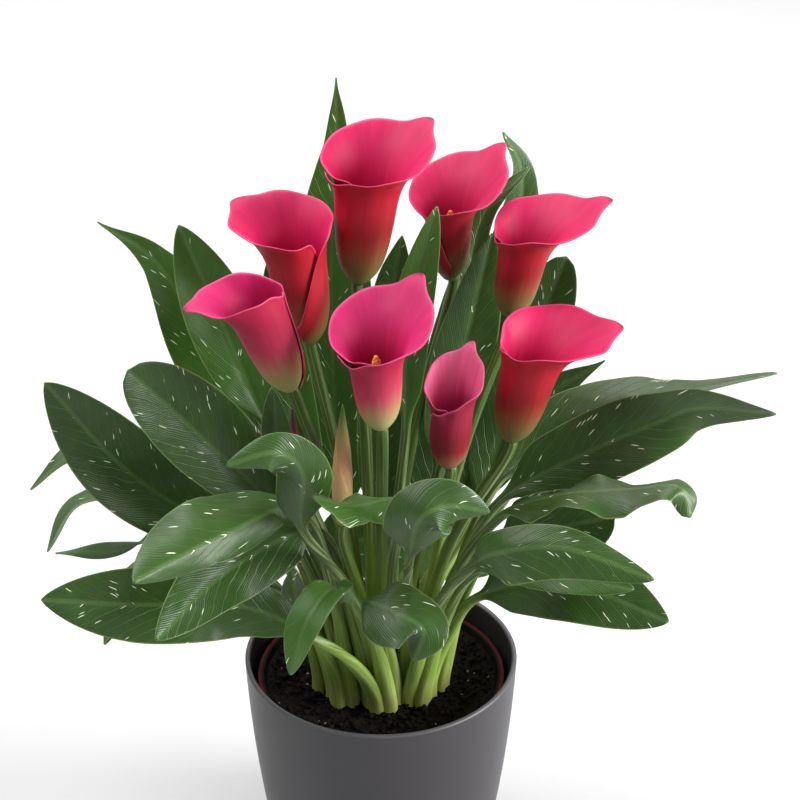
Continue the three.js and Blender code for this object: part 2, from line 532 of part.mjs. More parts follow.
// One ring across the spathe: up its inner face from foot to margin and down its outer face
function spatheRing(bloom, degrees) {
  const reach = spatheReach(bloom, degrees);
  const spiral = (SPATHE_OVERLAP_GAP * bloom.turn * degrees) / 360;
  const half = SPATHE_THICKNESS / 2;
  const inner = [];
  const outer = [];
  let radius = STEM_TOP_RADIUS + SPATHE_COLLAR_GAP + half + 0.6 * SPATHE_OVERLAP_GAP;
  let height = 1;
  let wanted = 0;
  for (let k = 0; k <= SPATHE_STEPS; k++) {
    const share = k / SPATHE_STEPS;
    const slope = radians(spatheSlope(bloom, degrees, share * reach));
    if (share >= SPATHE_RISES[wanted] - 1e-9) {
      for (const [face, shift] of [[inner, spiral - half], [outer, spiral + half]]) {
        face.push([radius + shift * Math.cos(slope), height - shift * Math.sin(slope)]);
      }
      wanted++;
    }
    radius += (Math.sin(slope) * reach) / SPATHE_STEPS;
    height += (Math.cos(slope) * reach) / SPATHE_STEPS;
  }
  const compass = radians(bloom.tipAngle + degrees);
  return [...inner, ...outer.reverse()].map(
    ([r, z]) => new THREE.Vector3(r * Math.cos(compass), r * Math.sin(compass), z));
}

function spatheGeometry(bloom) {
  const half = SPATHE_TURNS.map((share) => share * bloom.wrap);
  const angles = [...half.slice(1).map((degrees) => -degrees).reverse(), ...half];
  const upright = new THREE.Quaternion().setFromUnitVectors(vector(UP), vector(bloom.lean).normalize());
  const rings = angles.map((degrees) => spatheRing(bloom, degrees).map(
    (point) => point.applyQuaternion(upright).add(vector(bloom.base))));
  return loftSolid(rings);
}

// A closed bud is its spathe rolled tight round itself, solid like a spindle
function budGeometry(bud) {
  const axis = vector(bud.lean).normalize();
  const base = vector(bud.base).addScaledVector(axis, REST_GAP);
  const rings = BUD_OUTLINE.map(([share, width]) => roundRing(
    base.clone().addScaledVector(axis, share * bud.length), axis, width * bud.radius, STEM_SIDES));
  return loftSolid(rings);
}

function potOuterRadius(height) {
  const drop = POT_HEIGHT - height;
  return POT_RIM_RADIUS - POT_TAPER * drop - POT_BELLY * drop ** 2;
}

function latheSolid(profile, segments = ROUND_SEGMENTS) {
  const points = profile.map(([radius, height]) => new THREE.Vector2(radius, height));
  const geometry = new THREE.LatheGeometry([...points, points[0]], segments);
  return geometry.rotateX(Math.PI / 2);
}

function coverPotGeometry() {
  const footRadius = potOuterRadius(0) - POT_FOOT_ROUNDING;
  const outerHeights = [POT_FOOT_ROUNDING, 40, 75, 110, POT_HEIGHT - LIP_ROUNDING];
  const innerHeights = [POT_HEIGHT - LIP_ROUNDING, 110, 75, 40, POT_FLOOR + POT_FOOT_ROUNDING];
  const profile = [
    [0, 0],
    [footRadius, 0],
    ...outerHeights.map((height) => [potOuterRadius(height), height]),
    [POT_RIM_RADIUS - LIP_ROUNDING, POT_HEIGHT],
    [POT_RIM_RADIUS - POT_WALL + LIP_ROUNDING, POT_HEIGHT],
    ...innerHeights.map((height) => [potOuterRadius(height) - POT_WALL, height]),
    [footRadius - POT_WALL, POT_FLOOR],
    [0, POT_FLOOR],
  ];
  return latheSolid(profile);
}

function growPotRadius(height) {
  return THREE.MathUtils.lerp(GROW_POT_FOOT_RADIUS, GROW_POT_TOP_RADIUS, height / GROW_POT_HEIGHT);
}

function growPotGeometry() {
  const rimFoot = GROW_POT_HEIGHT - GROW_POT_RIM_DEPTH;
  const profile = [
    [0, 0],
    [GROW_POT_FOOT_RADIUS, 0],
    [growPotRadius(rimFoot), rimFoot],
    [GROW_POT_RIM_RADIUS, rimFoot + 0.6],
    [GROW_POT_RIM_RADIUS, GROW_POT_HEIGHT],
    [GROW_POT_RIM_RADIUS - GROW_POT_RIM_WIDTH, GROW_POT_HEIGHT],
    [growPotRadius(rimFoot) - GROW_POT_WALL, rimFoot],
    [GROW_POT_FOOT_RADIUS - GROW_POT_WALL, GROW_POT_WALL],
    [0, GROW_POT_WALL],
  ];
  let pot = toManifold(latheSolid(profile));
  for (let i = 0; i < DRAIN_HOLES; i++) {
    const angle = (2 * Math.PI * i) / DRAIN_HOLES;
    const hole = new THREE.CylinderGeometry(DRAIN_HOLE_RADIUS, DRAIN_HOLE_RADIUS, 4 * GROW_POT_WALL, 10);
    hole.rotateX(Math.PI / 2);
    hole.translate(DRAIN_HOLE_CIRCLE, 0, GROW_POT_WALL / 2);
    hole.rotateZ(angle);
    pot = pot.subtract(toManifold(hole));
  }
  return fromManifold(pot);
}

// The soil's top: a low, lumpy surface that drops a little towards the grow pot's wall
function soilTop(x, y) {
  const lumps = Math.sin(0.19 * x + 1.3) * Math.cos(0.23 * y) + 0.6 * Math.sin(0.41 * x - 0.37 * y);
  return SOIL_LEVEL + SOIL_LUMP * lumps;
}

function soilGeometry() {
  const foot = POT_FLOOR + REST_GAP + GROW_POT_WALL + REST_GAP;
  const potFoot = POT_FLOOR + REST_GAP;
  const wallRadius = (height) => growPotRadius(height - potFoot) - GROW_POT_WALL - SOIL_CLEARANCE;
  const radii = [30, 48];
  const profile = [
    [0, foot],
    [wallRadius(foot), foot],
    [wallRadius(SOIL_LEVEL), SOIL_LEVEL],
    ...radii.reverse().map((radius) => [radius, SOIL_LEVEL]),
    [0, SOIL_LEVEL],
  ];
  const body = latheSolid(profile, 24);
  const position = body.getAttribute("position");
  for (let i = 0; i < position.count; i++) {
    if (Math.abs(position.getZ(i) - SOIL_LEVEL) < 0.01) {
      position.setZ(i, soilTop(position.getX(i), position.getY(i)));
    }
  }
  let soil = toManifold(body);
  const stalks = [
    ...LEAVES.map((leaf) => [leaf.slot, PETIOLE_FOOT_RADIUS]),
    ...BLOOMS.map((bloom) => [bloom.slot, STEM_FOOT_RADIUS]),
    ...BUDS.map((bud) => [bud.slot, STEM_FOOT_RADIUS]),
  ];
  for (const [slot, radius] of stalks) {
    const holeRadius = (radius + HOLE_CLEARANCE) / Math.cos(Math.PI / HOLE_SIDES);
    const depth = STALK_DEPTH + HOLE_EXTRA_DEPTH;
    const hole = new THREE.CylinderGeometry(holeRadius, holeRadius, 2 * depth, HOLE_SIDES);
    hole.rotateX(Math.PI / 2);
    const root = stalkRoot(slot);
    hole.translate(root.x, root.y, SOIL_LEVEL);
    soil = soil.subtract(toManifold(hole));
  }
  return fromManifold(soil);
}

const plant = new THREE.Group();

function addPiece(name, geometry, finish, height = 0) {
  const mesh = new THREE.Mesh(geometry, new THREE.MeshStandardMaterial(finish));
  mesh.name = name;
  mesh.position.z = height;
  plant.add(mesh);
}

addPiece("cover_pot", coverPotGeometry(), POT_PLASTIC);
addPiece("grow_pot", growPotGeometry(), GROW_POT_PLASTIC, POT_FLOOR + REST_GAP);
addPiece("soil", soilGeometry(), POTTING_SOIL);
for (const leaf of LEAVES) addPiece(leaf.name, leafGeometry(leaf), LEAF_GREEN);
for (const bloom of BLOOMS) {
  addPiece(`${bloom.name}_stem`, bloomStemGeometry(bloom), STEM_GREEN);
  addPiece(`${bloom.name}_spathe`, spatheGeometry(bloom), SPATHE_PINK);
}
for (const bud of BUDS) {
  addPiece(`${bud.name}_stem`, loftSolid(stemRings(bud.slot, bud.base, bud.lean)), STEM_GREEN);
  addPiece(`${bud.name}_spathe`, budGeometry(bud), bud.name === "bud_1" ? BUD_OLIVE : BUD_MAROON);
}

export default plant;
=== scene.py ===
"""A potted calla lily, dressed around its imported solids.

The leaves, blooms and buds repeat the rows of the part's source at a finer step, so each piece lies
where its solid lies. Lengths are millimetres until a mesh is made, and metres from there on.
The plant's front is -Y, and the origin is the middle of the cover pot's underside.
"""
import logging
import math
from dataclasses import dataclass
from enum import Enum

import bmesh
import bpy
import numpy as np
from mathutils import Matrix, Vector, noise


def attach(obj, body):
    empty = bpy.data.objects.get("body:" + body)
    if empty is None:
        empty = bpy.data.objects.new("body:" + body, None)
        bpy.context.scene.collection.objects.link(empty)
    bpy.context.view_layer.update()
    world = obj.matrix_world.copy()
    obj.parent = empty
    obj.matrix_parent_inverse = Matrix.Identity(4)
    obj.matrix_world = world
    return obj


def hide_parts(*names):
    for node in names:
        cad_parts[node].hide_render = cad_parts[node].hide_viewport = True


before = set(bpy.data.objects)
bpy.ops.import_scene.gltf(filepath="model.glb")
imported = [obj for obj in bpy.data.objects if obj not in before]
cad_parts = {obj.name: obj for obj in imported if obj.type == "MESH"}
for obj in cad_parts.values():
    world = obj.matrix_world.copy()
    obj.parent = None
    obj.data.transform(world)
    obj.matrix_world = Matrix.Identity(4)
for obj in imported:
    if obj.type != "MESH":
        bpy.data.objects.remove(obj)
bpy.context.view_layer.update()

log = logging.getLogger("potted_calla_lily")

MM = 0.001
SEED = 7

# Where the stalks stand in the soil, and how they are drawn together in clumps.
SOIL_LEVEL = 121.0
ROW_FRONT_Y = -28.0
ROW_STEP = 7.6
COLUMN_STEP = 8.6
MIDDLE_COLUMN = 4.5
STALK_DEPTH = 14.0
STALK_COLLAR = 10.0
CLUMP_STEP = 2.4 * COLUMN_STEP
CLUMP_PULL = 0.2

# A leaf's petiole, its sheath low down and its blade.
NECK_STEP = 3
PETIOLE_LEAN = 0.4
PETIOLE_RISE = 0.6
PETIOLE_FOOT_RADIUS = 3.5
PETIOLE_NECK_RADIUS = 2.7
PETIOLE_RINGS = 27
CHANNEL_DEPTH = 0.3
CHANNEL_WIDTH = 0.4
SHEATH_FULL = SOIL_LEVEL + 12
SHEATH_END = SOIL_LEVEL + 75
SHEATH_BREADTH = 0.75
SHEATH_DEPTH = 0.25
FACE_TURN = (1.5, 3.6)
BLADE_RINGS = 61
BLADE_COLUMNS = 21
BLADE_START = 0.2
BLADE_THICKNESS = 0.9
BLADE_TIP_HALF_WIDTH = 0.5
BEND_SAMPLES = 12
GROOVE = (0.7, 1.2)
KEEL = (1.5, 1.9)
RIGHT_RIM_PHASE = 1.9
RIM_WAVE_END = 1.1
RIPPLE_SHARE = 0.12
RIPPLE_CRESTS = 3.7
RIPPLE_START = 0.31
RIM_ROUNDING = (10, 0.06)

# The stems, a bud's rolled spathe, and a bloom's spadix and spathe.
STEM_FOOT_RADIUS = 3.5
STEM_TOP_RADIUS = 3.1
STEM_TOP_LENGTH = 12.0
STEM_RINGS = 60
STEM_SIDES = 24
BUD_RINGS = (50, 60)
BUD_SIDES = (20, 64)
BUD_SEAM_TURN = 0.55
BUD_SEAM_DEPTH = 0.13
BUD_OUTLINE = ((0, 0.08, 0.25, 0.45, 0.65, 0.82, 0.94, 1), (0.55, 0.85, 1, 0.95, 0.72, 0.42, 0.2, 0.06))
SPADIX_RADIUS = 2.9
SPADIX_STALK_RADIUS = 2.2
SPADIX_STALK_RINGS = 20
FLORET_HEIGHT = 0.22
FLORETS_ROUND = 12
SPATHE_THICKNESS = 0.9
SPATHE_OVERLAP_GAP = 1.7
SPATHE_COLLAR_GAP = 0.6
SPATHE_STEPS = 60
SPATHE_HALF_STEPS = 60
SPATHE_FOOT_SLOPE = 40.0
SPATHE_FOOT_SHARE = 0.2
SPATHE_SLOPE_PER_THROAT = 0.28
SPATHE_FLARE_START = 0.72
SPATHE_FLARE_LENGTH = 26.0
SPATHE_LIP = 26.0
SPATHE_ANGLE_POWER = 1.15
SPATHE_CALM = (70.0, 20.0)
SPATHE_TUCK = 1.5
SPATHE_TUCK_LENGTHS = (3.0, 2.0)
SPATHE_MARGIN_THINNING = 0.45
LIMB_RIPPLES = ((0.9, 3.3), (0.5, 7.1))
TIP_HOOK = 45.0
TIP_HOOK_WIDTH = 18.0
TIP_POINT = 0.24
TIP_POINT_WIDTH = 13.0
MARGIN_DROP = 0.8
MARGIN_FOOT = 4.0

# The forms of a leaf's tip and the ways that its upper face looks.
BLUNT = 0.5
PLAIN = 0.8
LONG = 1.5
FRONT_UP = (0.0, -0.8, 0.6)
UP = (0.0, 0.0, 1.0)

# Distance between the patterns of two leaves or stems, so that none repeats.
PATTERN_SHIFT = 37.0

# Settings and inputs that many shader nodes share.
SMOOTH = {"interpolation_type": "SMOOTHSTEP"}
COLOUR = {"data_type": "RGBA"}
FALL = {"To Min": 1.0, "To Max": 0.0}


def linear(colour: str) -> tuple[float, float, float, float]:
    """Turns an sRGB hex colour into linear values.

    Args:
        colour: Six hex digits, such as "36551f".

    Returns:
        Linear red, green and blue, with alpha 1.
    """
    parts = [int(colour[i:i + 2], 16) / 255 for i in (0, 2, 4)]
    curve = [part / 12.92 if part <= 0.04045 else ((part + 0.055) / 1.055) ** 2.4 for part in parts]
    return curve[0], curve[1], curve[2], 1.0


def smoothstep(low: float, high: float, value: np.ndarray) -> np.ndarray:
    """Rises smoothly from 0 at low to 1 at high.

    Args:
        low: Where the rise starts.
        high: Where the rise ends.
        value: The places asked for.

    Returns:
        The height at each place.
    """
    share = np.clip((np.asarray(value, float) - low) / (high - low), 0, 1)
    return share * share * (3 - 2 * share)


def lerp(start: float, end: float, share: np.ndarray) -> np.ndarray:
    """Goes from start to end by the given shares."""
    return start + (end - start) * np.asarray(share, float)


def unit(vectors: np.ndarray) -> np.ndarray:
    """Scales vectors to length 1."""
    return vectors / np.linalg.norm(vectors, axis=-1, keepdims=True)


def turned(vectors: np.ndarray, axes: np.ndarray, angles: np.ndarray) -> np.ndarray:
    """Turns vectors round axes that they are square to.

    Args:
        vectors: One vector a row.
        axes: One unit axis a row.
        angles: The turn of each row in radians.

    Returns:
        The turned vectors.
    """
    return vectors * np.cos(angles)[:, None] + np.cross(axes, vectors) * np.sin(angles)[:, None]


def bell(value: np.ndarray, width: float) -> np.ndarray:
    """Gives a bell's height, 1 in its middle at 0."""
    return np.exp(-(value / width) ** 2)


def evened(values: np.ndarray, **edge: str) -> np.ndarray:
    """Averages each value with three on either side, padded at the ends as edge says."""
    return np.convolve(np.pad(values, 3, **edge), np.ones(7) / 7, mode="valid")


def there_and_back(values: np.ndarray, shape: tuple[int, int]) -> np.ndarray:
    """Spreads values over one sheet of the given shape, and backwards over the sheet behind it."""
    full = np.broadcast_to(values, shape)
    return np.hstack([full, full[:, ::-1]])


def shader_mark(shape: tuple[int, int], *parts: np.ndarray) -> np.ndarray:
    """Joins three values a point into the vectors that a shader reads, one a row."""
    return np.stack([np.broadcast_to(part, shape) for part in parts], -1).reshape(-1, 3)


def whole_turn(count: int) -> np.ndarray:
    """Divides a whole turn into equal angles in radians."""
    return 2 * np.pi * np.arange(count) / count


def foot_place(slot: tuple[int, int]) -> np.ndarray:
    """Gives the place in the soil's surface where the stalk of a slot's row and column stands."""
    row, column = slot
    root_x = (column - MIDDLE_COLUMN + 0.5 * (row % 2)) * COLUMN_STEP
    return np.array([root_x, ROW_FRONT_Y + row * ROW_STEP, SOIL_LEVEL])


class Stalk:
    """A smooth line from under the soil, up through a stalk's middle, to given points."""

    def __init__(self, slot: tuple[int, int], line: tuple) -> None:
        """Lays the line.

        Args:
            slot: The row and column where it leaves the soil.
            line: The points from its neck on.
        """
        self.root = foot_place(slot)
        neck = np.array(line[0], float)
        middle = self.root + (neck - self.root) * np.array([PETIOLE_LEAN, PETIOLE_LEAN, PETIOLE_RISE])
        foot = self.root - (0, 0, STALK_DEPTH)
        collar = self.root + (0, 0, STALK_COLLAR)
        self.points = np.vstack([foot, collar, middle, np.array(line, float)])
        self.last = len(self.points) - 1

    def at(self, steps: np.ndarray) -> np.ndarray:
        """Finds places on the line.

        Args:
            steps: Places counted in points, so 3 is the neck.

        Returns:
            One place a row.
        """
        ends = 2 * self.points[[0, -1]] - self.points[[1, -2]]
        padded = np.vstack([ends[0], self.points, ends[1]])
        steps = np.asarray(steps, float)
        low = np.clip(np.floor(steps).astype(int), 0, self.last - 1)
        t = (steps - low)[:, None]
        p0, p1, p2, p3 = (padded[low + k] for k in range(4))
        out, back = (p2 - p0) / 2, (p3 - p1) / 2
        cubic = 2 * p1 - 2 * p2 + out + back
        square = -3 * p1 + 3 * p2 - 2 * out - back
        return ((cubic * t + square) * t + out) * t + p1

    def along(self, steps: np.ndarray) -> np.ndarray:
        """Gives the line's direction at each step."""
        steps = np.asarray(steps, float)
        return unit(self.at(np.minimum(steps + 0.01, self.last)) - self.at(np.maximum(steps - 0.01, 0)))

    def blade_steps(self, shares: np.ndarray) -> np.ndarray:
        """Turns shares of the blade's length into steps on the line."""
        lengths = np.linalg.norm(np.diff(self.points[NECK_STEP:], axis=0), axis=1)
        ends = np.concatenate([[0], np.cumsum(lengths)])
        return NECK_STEP + np.interp(np.asarray(shares) * ends[-1], ends, np.arange(len(ends)))


def turn_faces_out(mesh: bpy.types.Mesh) -> None:
    """Reverses the faces of a closed mesh whose volume comes out negative.

    Args:
        mesh: The mesh.
    """
    solid = bmesh.new()
    solid.from_mesh(mesh)
    inside_out = solid.calc_volume(signed=True) < 0
    solid.free()
    if inside_out:
        mesh.flip_normals()


def make_piece(name: str, node: str, slot: str, verts: np.ndarray, faces: list, materials: list,
               marks: dict | None = None, face_materials: list | None = None) -> None:
    """Makes a smooth mesh object that rides on the root body in the place of a solid of the frame.

    Args:
        name: The object's name.
        node: The solid that it replaces.
        slot: The record's material slot, which is not used.
        verts: Places in millimetres, one a row.
        faces: Vertex numbers of each face.
        materials: The object's materials.
        marks: Vectors for the shaders, one a vertex, by name.
        face_materials: The number of each face's material.
    """
    mesh = bpy.data.meshes.new(name)
    mesh.from_pydata((np.asarray(verts) * MM).tolist(), [], faces)
    for mark, values in (marks or {}).items():
        layer = mesh.attributes.new(mark, "FLOAT_VECTOR", "POINT")
        layer.data.foreach_set("vector", np.asarray(values, np.float32).ravel())
    for material in materials:
        mesh.materials.append(material)
    if face_materials:
        mesh.polygons.foreach_set("material_index", face_materials)
    mesh.polygons.foreach_set("use_smooth", [True] * len(mesh.polygons))
    mesh.update()
    turn_faces_out(mesh)
    piece = bpy.data.objects.new(name, mesh)
    bpy.context.scene.collection.objects.link(piece)
    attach(piece, "root")
    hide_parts(node)
    log.info("%s: %d faces", name, len(faces))


def loft_faces(rings: int, count: int) -> list:
    """Lists the faces of a closed tube with flat ends.

    Args:
        rings: How many rings it has.
        count: How many points a ring has.

    Returns:
        Vertex numbers of each face.
    """
    faces = []
    for k in range(rings - 1):
        for i in range(count):
            j = (i + 1) % count
            faces.append((k * count + i, k * count + j, (k + 1) * count + j, (k + 1) * count + i))
    last = (rings - 1) * count
    faces.append(tuple(reversed(range(count))))
    faces.append(tuple(last + i for i in range(count)))
    return faces


def round_rings(centres: np.ndarray, along: np.ndarray, radii: np.ndarray) -> np.ndarray:
    """Lays rings square to a line.

    Args:
        centres: The middle of each ring.
        along: The line's direction at each ring.
        radii: One row of radii a ring, one radius a point.

    Returns:
        The points, one a row, ring after ring.
    """
    side = unit(np.array([1.0, 0, 0]) - along * along[:, :1])
    back = np.cross(along, side)
    angles = whole_turn(radii.shape[1])
    rings = (centres[:, None] + side[:, None] * (radii * np.cos(angles))[..., None]
             + back[:, None] * (radii * np.sin(angles))[..., None])
    return rings.reshape(-1, 3)


def stem_marks(centres: np.ndarray, radii: np.ndarray) -> dict:
    """Marks each point of laid rings with its place in the section and along the stem, in millimetres.

    Args:
        centres: The middle of each ring.
        radii: One row of radii a ring, one radius a point.

    Returns:
        The mark that the stem's shader reads.
    """
    angles = whole_turn(radii.shape[1])
    steps = np.linalg.norm(np.diff(centres, axis=0), axis=1)
    length = np.concatenate([[0], np.cumsum(steps)])[:, None] + PATTERN_SHIFT * centres[0, 0]
    return {"stem": shader_mark(radii.shape, radii * np.cos(angles), radii * np.sin(angles), length)}


def stem_line(slot: tuple[int, int], base: np.ndarray, axis: np.ndarray, rings: int) -> tuple:
    """Lays the middle line of a stem that ends in a bloom or a bud.

    Args:
        slot: The row and column where it leaves the soil.
        base: Where the stem ends.
        axis: The way in which it ends.
        rings: How many rings it has.

    Returns:
        The middle, the direction and the radius of each ring.
    """
    stalk = Stalk(slot, (base - axis * STEM_TOP_LENGTH, base))
    steps = np.linspace(0, stalk.last, rings)
    along = stalk.along(steps)
    along[-1] = axis
    return stalk.at(steps), along, lerp(STEM_FOOT_RADIUS, STEM_TOP_RADIUS, steps / stalk.last)[:, None]


class Surface:
    """A material and its node tree."""

    def __init__(self, name: str, **constants: object) -> None:
        """Makes a material with a Principled shader.

        Args:
            name: The material's name.
            constants: Values for the shader's own sockets, with underscores for spaces.
        """
        self.material = bpy.data.materials.new(name)
        self.material.use_nodes = True
        self.tree = self.material.node_tree
        self.shader = self.tree.nodes["Principled BSDF"]
        for socket, value in constants.items():
            self.shader.inputs[socket.replace("_", " ")].default_value = value

    def add(self, kind: str, inputs: dict | None = None, **settings: object) -> bpy.types.Node:
        """Adds a node.

        Args:
            kind: The node's type without "ShaderNode".
            inputs: A node or socket to link, or a value, for each input by name or number.
            settings: The node's own settings.

        Returns:
            The node.
        """
        node = self.tree.nodes.new("ShaderNode" + kind)
        for name, value in settings.items():
            setattr(node, name, value)
        for key, value in (inputs or {}).items():
            self.join(node.inputs[key], value)
        return node

    def join(self, socket: bpy.types.NodeSocket, source: object) -> None:
        """Links a socket to a node's first live output or to another socket, or sets its value.

        Args:
            socket: The socket that takes the value.
            source: A node, a socket, or a plain value.
        """
        if isinstance(source, bpy.types.Node):
            source = next(output for output in source.outputs if output.enabled)
        if isinstance(source, bpy.types.NodeSocket):
            self.tree.links.new(source, socket)
        else:
            socket.default_value = source

    def feed(self, socket: str, source: bpy.types.Node) -> None:
        """Links a socket of the shader."""
        self.join(self.shader.inputs[socket], source)

    def read(self, mark: str) -> tuple[bpy.types.NodeSocket, list]:
        """Reads a mark of the mesh, as a vector and as its three values."""
        vector = self.add("Attribute", attribute_name=mark).outputs["Vector"]
        return vector, list(self.add("SeparateXYZ", {0: vector}).outputs)

    def height(self) -> bpy.types.NodeSocket:
        """Gives each point's height over the floor in metres."""
        return self.add("SeparateXYZ", {0: self.add("NewGeometry")}).outputs[2]


class LeafTone(Enum):
    """How yellow a leaf's green is: 0 is the usual deep green, 1 a young bright one."""

    DEEP = 0.0
    MIDDLE = 0.4
    BRIGHT = 0.85


@dataclass(frozen=True)
class LeafFinish:
    """Living calla leaf: a waxy skin over deep green flesh, with pale windows of blank cells.

    The wax gives the soft grey sheen on top, and the underside is duller and paler. Widths and spacings
    are in millimetres, and the heights at which the petiole changes its colour are in metres.
    """

    deep: str = "243c12"
    bright: str = "386212"
    pale_rib: str = "5c7a40"
    margin: str = "6c8648"
    underside: str = "46643a"
    dash: str = "dde6cc"
    petiole_top: str = "2e4c14"
    petiole_low: str = "74922c"
    petiole_stain: str = "4a5220"
    petiole_foot: str = "9a9c4c"
    streak: str = "b4bf82"
    vein_spacing: float = 2.4
    rib_spacing: float = 11.0
    vein_slant: float = 2.0
    vein_drift: float = 14.0
    midrib_half: tuple[float, float] = (0.5, 1.9)
    dash_cell: tuple[float, float] = (3.1, 12.0)
    dash_radius: tuple[float, float] = (0.13, 0.2)
    cells_left_blank: float = 0.7
    green_rise: tuple[float, float] = (0.135, 0.24)
    foot_fade: tuple[float, float] = (0.12, 0.145)

    def build(self) -> bpy.types.Material:
        """Makes the material."""
        skin = Surface("living calla leaf", Roughness=0.4, IOR=1.46, Subsurface_Weight=0.08,
                       Subsurface_Scale=0.002, Sheen_Weight=0.08, Sheen_Roughness=0.4)
        add = skin.add
        blade, (across, along, share) = skin.read("blade")
        _, (reach, upper, tone) = skin.read("leaf")
        distance = add("Math", {0: across}, operation="ABSOLUTE")
        height = skin.height()

        # Fine veins and stronger ribs leave the midrib at a slant and drift a little.
        drift = add("TexNoise", {"Vector": blade, "Scale": 0.045, "Detail": 2.0})
        slant = add("Math", {0: distance, 1: -self.vein_slant, 2: along}, operation="MULTIPLY_ADD")
        vein = add("Math", {0: drift, 1: self.vein_drift, 2: slant}, operation="MULTIPLY_ADD")
        fine_turn = add("Math", {0: vein, 1: 2 * math.pi / self.vein_spacing}, operation="MULTIPLY")
        fine = add("Math", {0: fine_turn}, operation="SINE")
        rib_turn = add("Math", {0: vein, 1: 1 / self.rib_spacing}, operation="MULTIPLY")
        rib_saw = add("Math", {0: rib_turn, 1: 0.5}, operation="PINGPONG")
        rib = add("MapRange", {"Value": rib_saw, "From Min": 0.02, "From Max": 0.07, **FALL}, **SMOOTH)
        midrib = add("MapRange", {"Value": distance, "From Min": self.midrib_half[0],
                                  "From Max": self.midrib_half[1], **FALL}, **SMOOTH)
        blotch = add("TexNoise", {"Vector": blade, "Scale": 0.09, "Detail": 4.0})
        green_mix = add("Math", {0: blotch, 1: 0.5, 2: tone}, operation="MULTIPLY_ADD", use_clamp=True)
        green = add("Mix", {"Factor": green_mix, "A": linear(self.deep), "B": linear(self.bright)}, **COLOUR)

        lift = add("Math", {0: fine, 1: 0.02, 2: 0.02}, operation="MULTIPLY_ADD")
        rib_soft = add("Math", {0: rib, 1: 0.12, 2: lift}, operation="MULTIPLY_ADD")
        pale = add("Math", {0: midrib, 1: 0.34, 2: rib_soft}, operation="MULTIPLY_ADD", use_clamp=True)
        veined = add("Mix", {"Factor": pale, "A": green, "B": linear(self.pale_rib)}, **COLOUR)

        rim = add("MapRange", {"Value": reach, "From Min": 0.95, "From Max": 0.99}, **SMOOTH)
        rim_soft = add("Math", {0: rim, 1: 0.65}, operation="MULTIPLY")
        edged = add("Mix", {"Factor": rim_soft, "A": veined, "B": linear(self.margin)}, **COLOUR)
        dashes = self._dashes(skin, across, vein, tone)
        dashed = add("Mix", {"Factor": dashes, "A": edged, "B": linear(self.dash)}, **COLOUR)

        lower_colours = {"A": linear(self.underside), "B": linear(self.pale_rib)}
        under = add("Mix", {"Factor": pale, **lower_colours}, **COLOUR)
        blade_colour = add("Mix", {"Factor": upper, "A": under, "B": dashed}, **COLOUR)
        stalk = add("MapRange", {"Value": share, "From Min": -0.03, "From Max": 0.1, **FALL}, **SMOOTH)
        petiole = self._petiole(skin, (reach, upper, tone), along, height)
        skin.feed("Base Color", add("Mix", {"Factor": stalk, "A": blade_colour, "B": petiole}, **COLOUR))

        rough = add("MapRange", {"Value": upper, "To Min": 0.6, "To Max": 0.36})
        skin.feed("Roughness", add("Math", {0: stalk, 1: 0.1, 2: rough}, operation="MULTIPLY_ADD"))
        low_fine = add("Math", {0: fine, 1: 0.25}, operation="MULTIPLY")
        grooves = add("Math", {0: rib, 1: -0.8, 2: low_fine}, operation="MULTIPLY_ADD")
        swell = add("TexNoise", {"Vector": blade, "Scale": 0.06, "Detail": 1.0})
        relief = add("Math", {0: swell, 1: 9.0, 2: grooves}, operation="MULTIPLY_ADD")
        calm = add("Math", {0: stalk, 1: -1.0, 2: 1.0}, operation="MULTIPLY_ADD")
        calm_relief = add("Math", {0: relief, 1: calm}, operation="MULTIPLY")
        skin.feed("Normal", add("Bump", {"Height": calm_relief, "Strength": 0.5, "Distance": 0.00025}))
        return skin.material

    def _dashes(self, skin: Surface, across: object, vein: object, tone: object) -> bpy.types.Node:
        """Draws short white dashes of about 1 by 4 mm that lie along the veins.

        Args:
            skin: The surface that takes the nodes.
            across: The distance from the midrib in mm, with its side's sign.
            vein: The place across the veins in mm.
            tone: The leaf's own number.

        Returns:
            1 on a dash and 0 elsewhere.
        """
        add = skin.add
        along_vein = add("Math", {0: across, 1: self.vein_slant / self.dash_cell[1]}, operation="MULTIPLY")
        across_vein = add("Math", {0: vein, 1: 1 / self.dash_cell[0]}, operation="MULTIPLY")
        far = add("Math", {0: tone, 1: 90.0}, operation="MULTIPLY")
        cell = add("CombineXYZ", {0: across_vein, 1: along_vein, 2: far})
        dots = add("TexVoronoi", {"Vector": cell, "Scale": 1.0}, voronoi_dimensions="3D")
        spot = add("MapRange", {"Value": dots.outputs["Distance"], "From Min": self.dash_radius[0],
                                "From Max": self.dash_radius[1], **FALL}, **SMOOTH)
        draw = add("SeparateXYZ", {0: dots.outputs["Color"]})
        chosen = add("Math", {0: draw, 1: self.cells_left_blank}, operation="GREATER_THAN")
        return add("Math", {0: spot, 1: chosen}, operation="MULTIPLY")

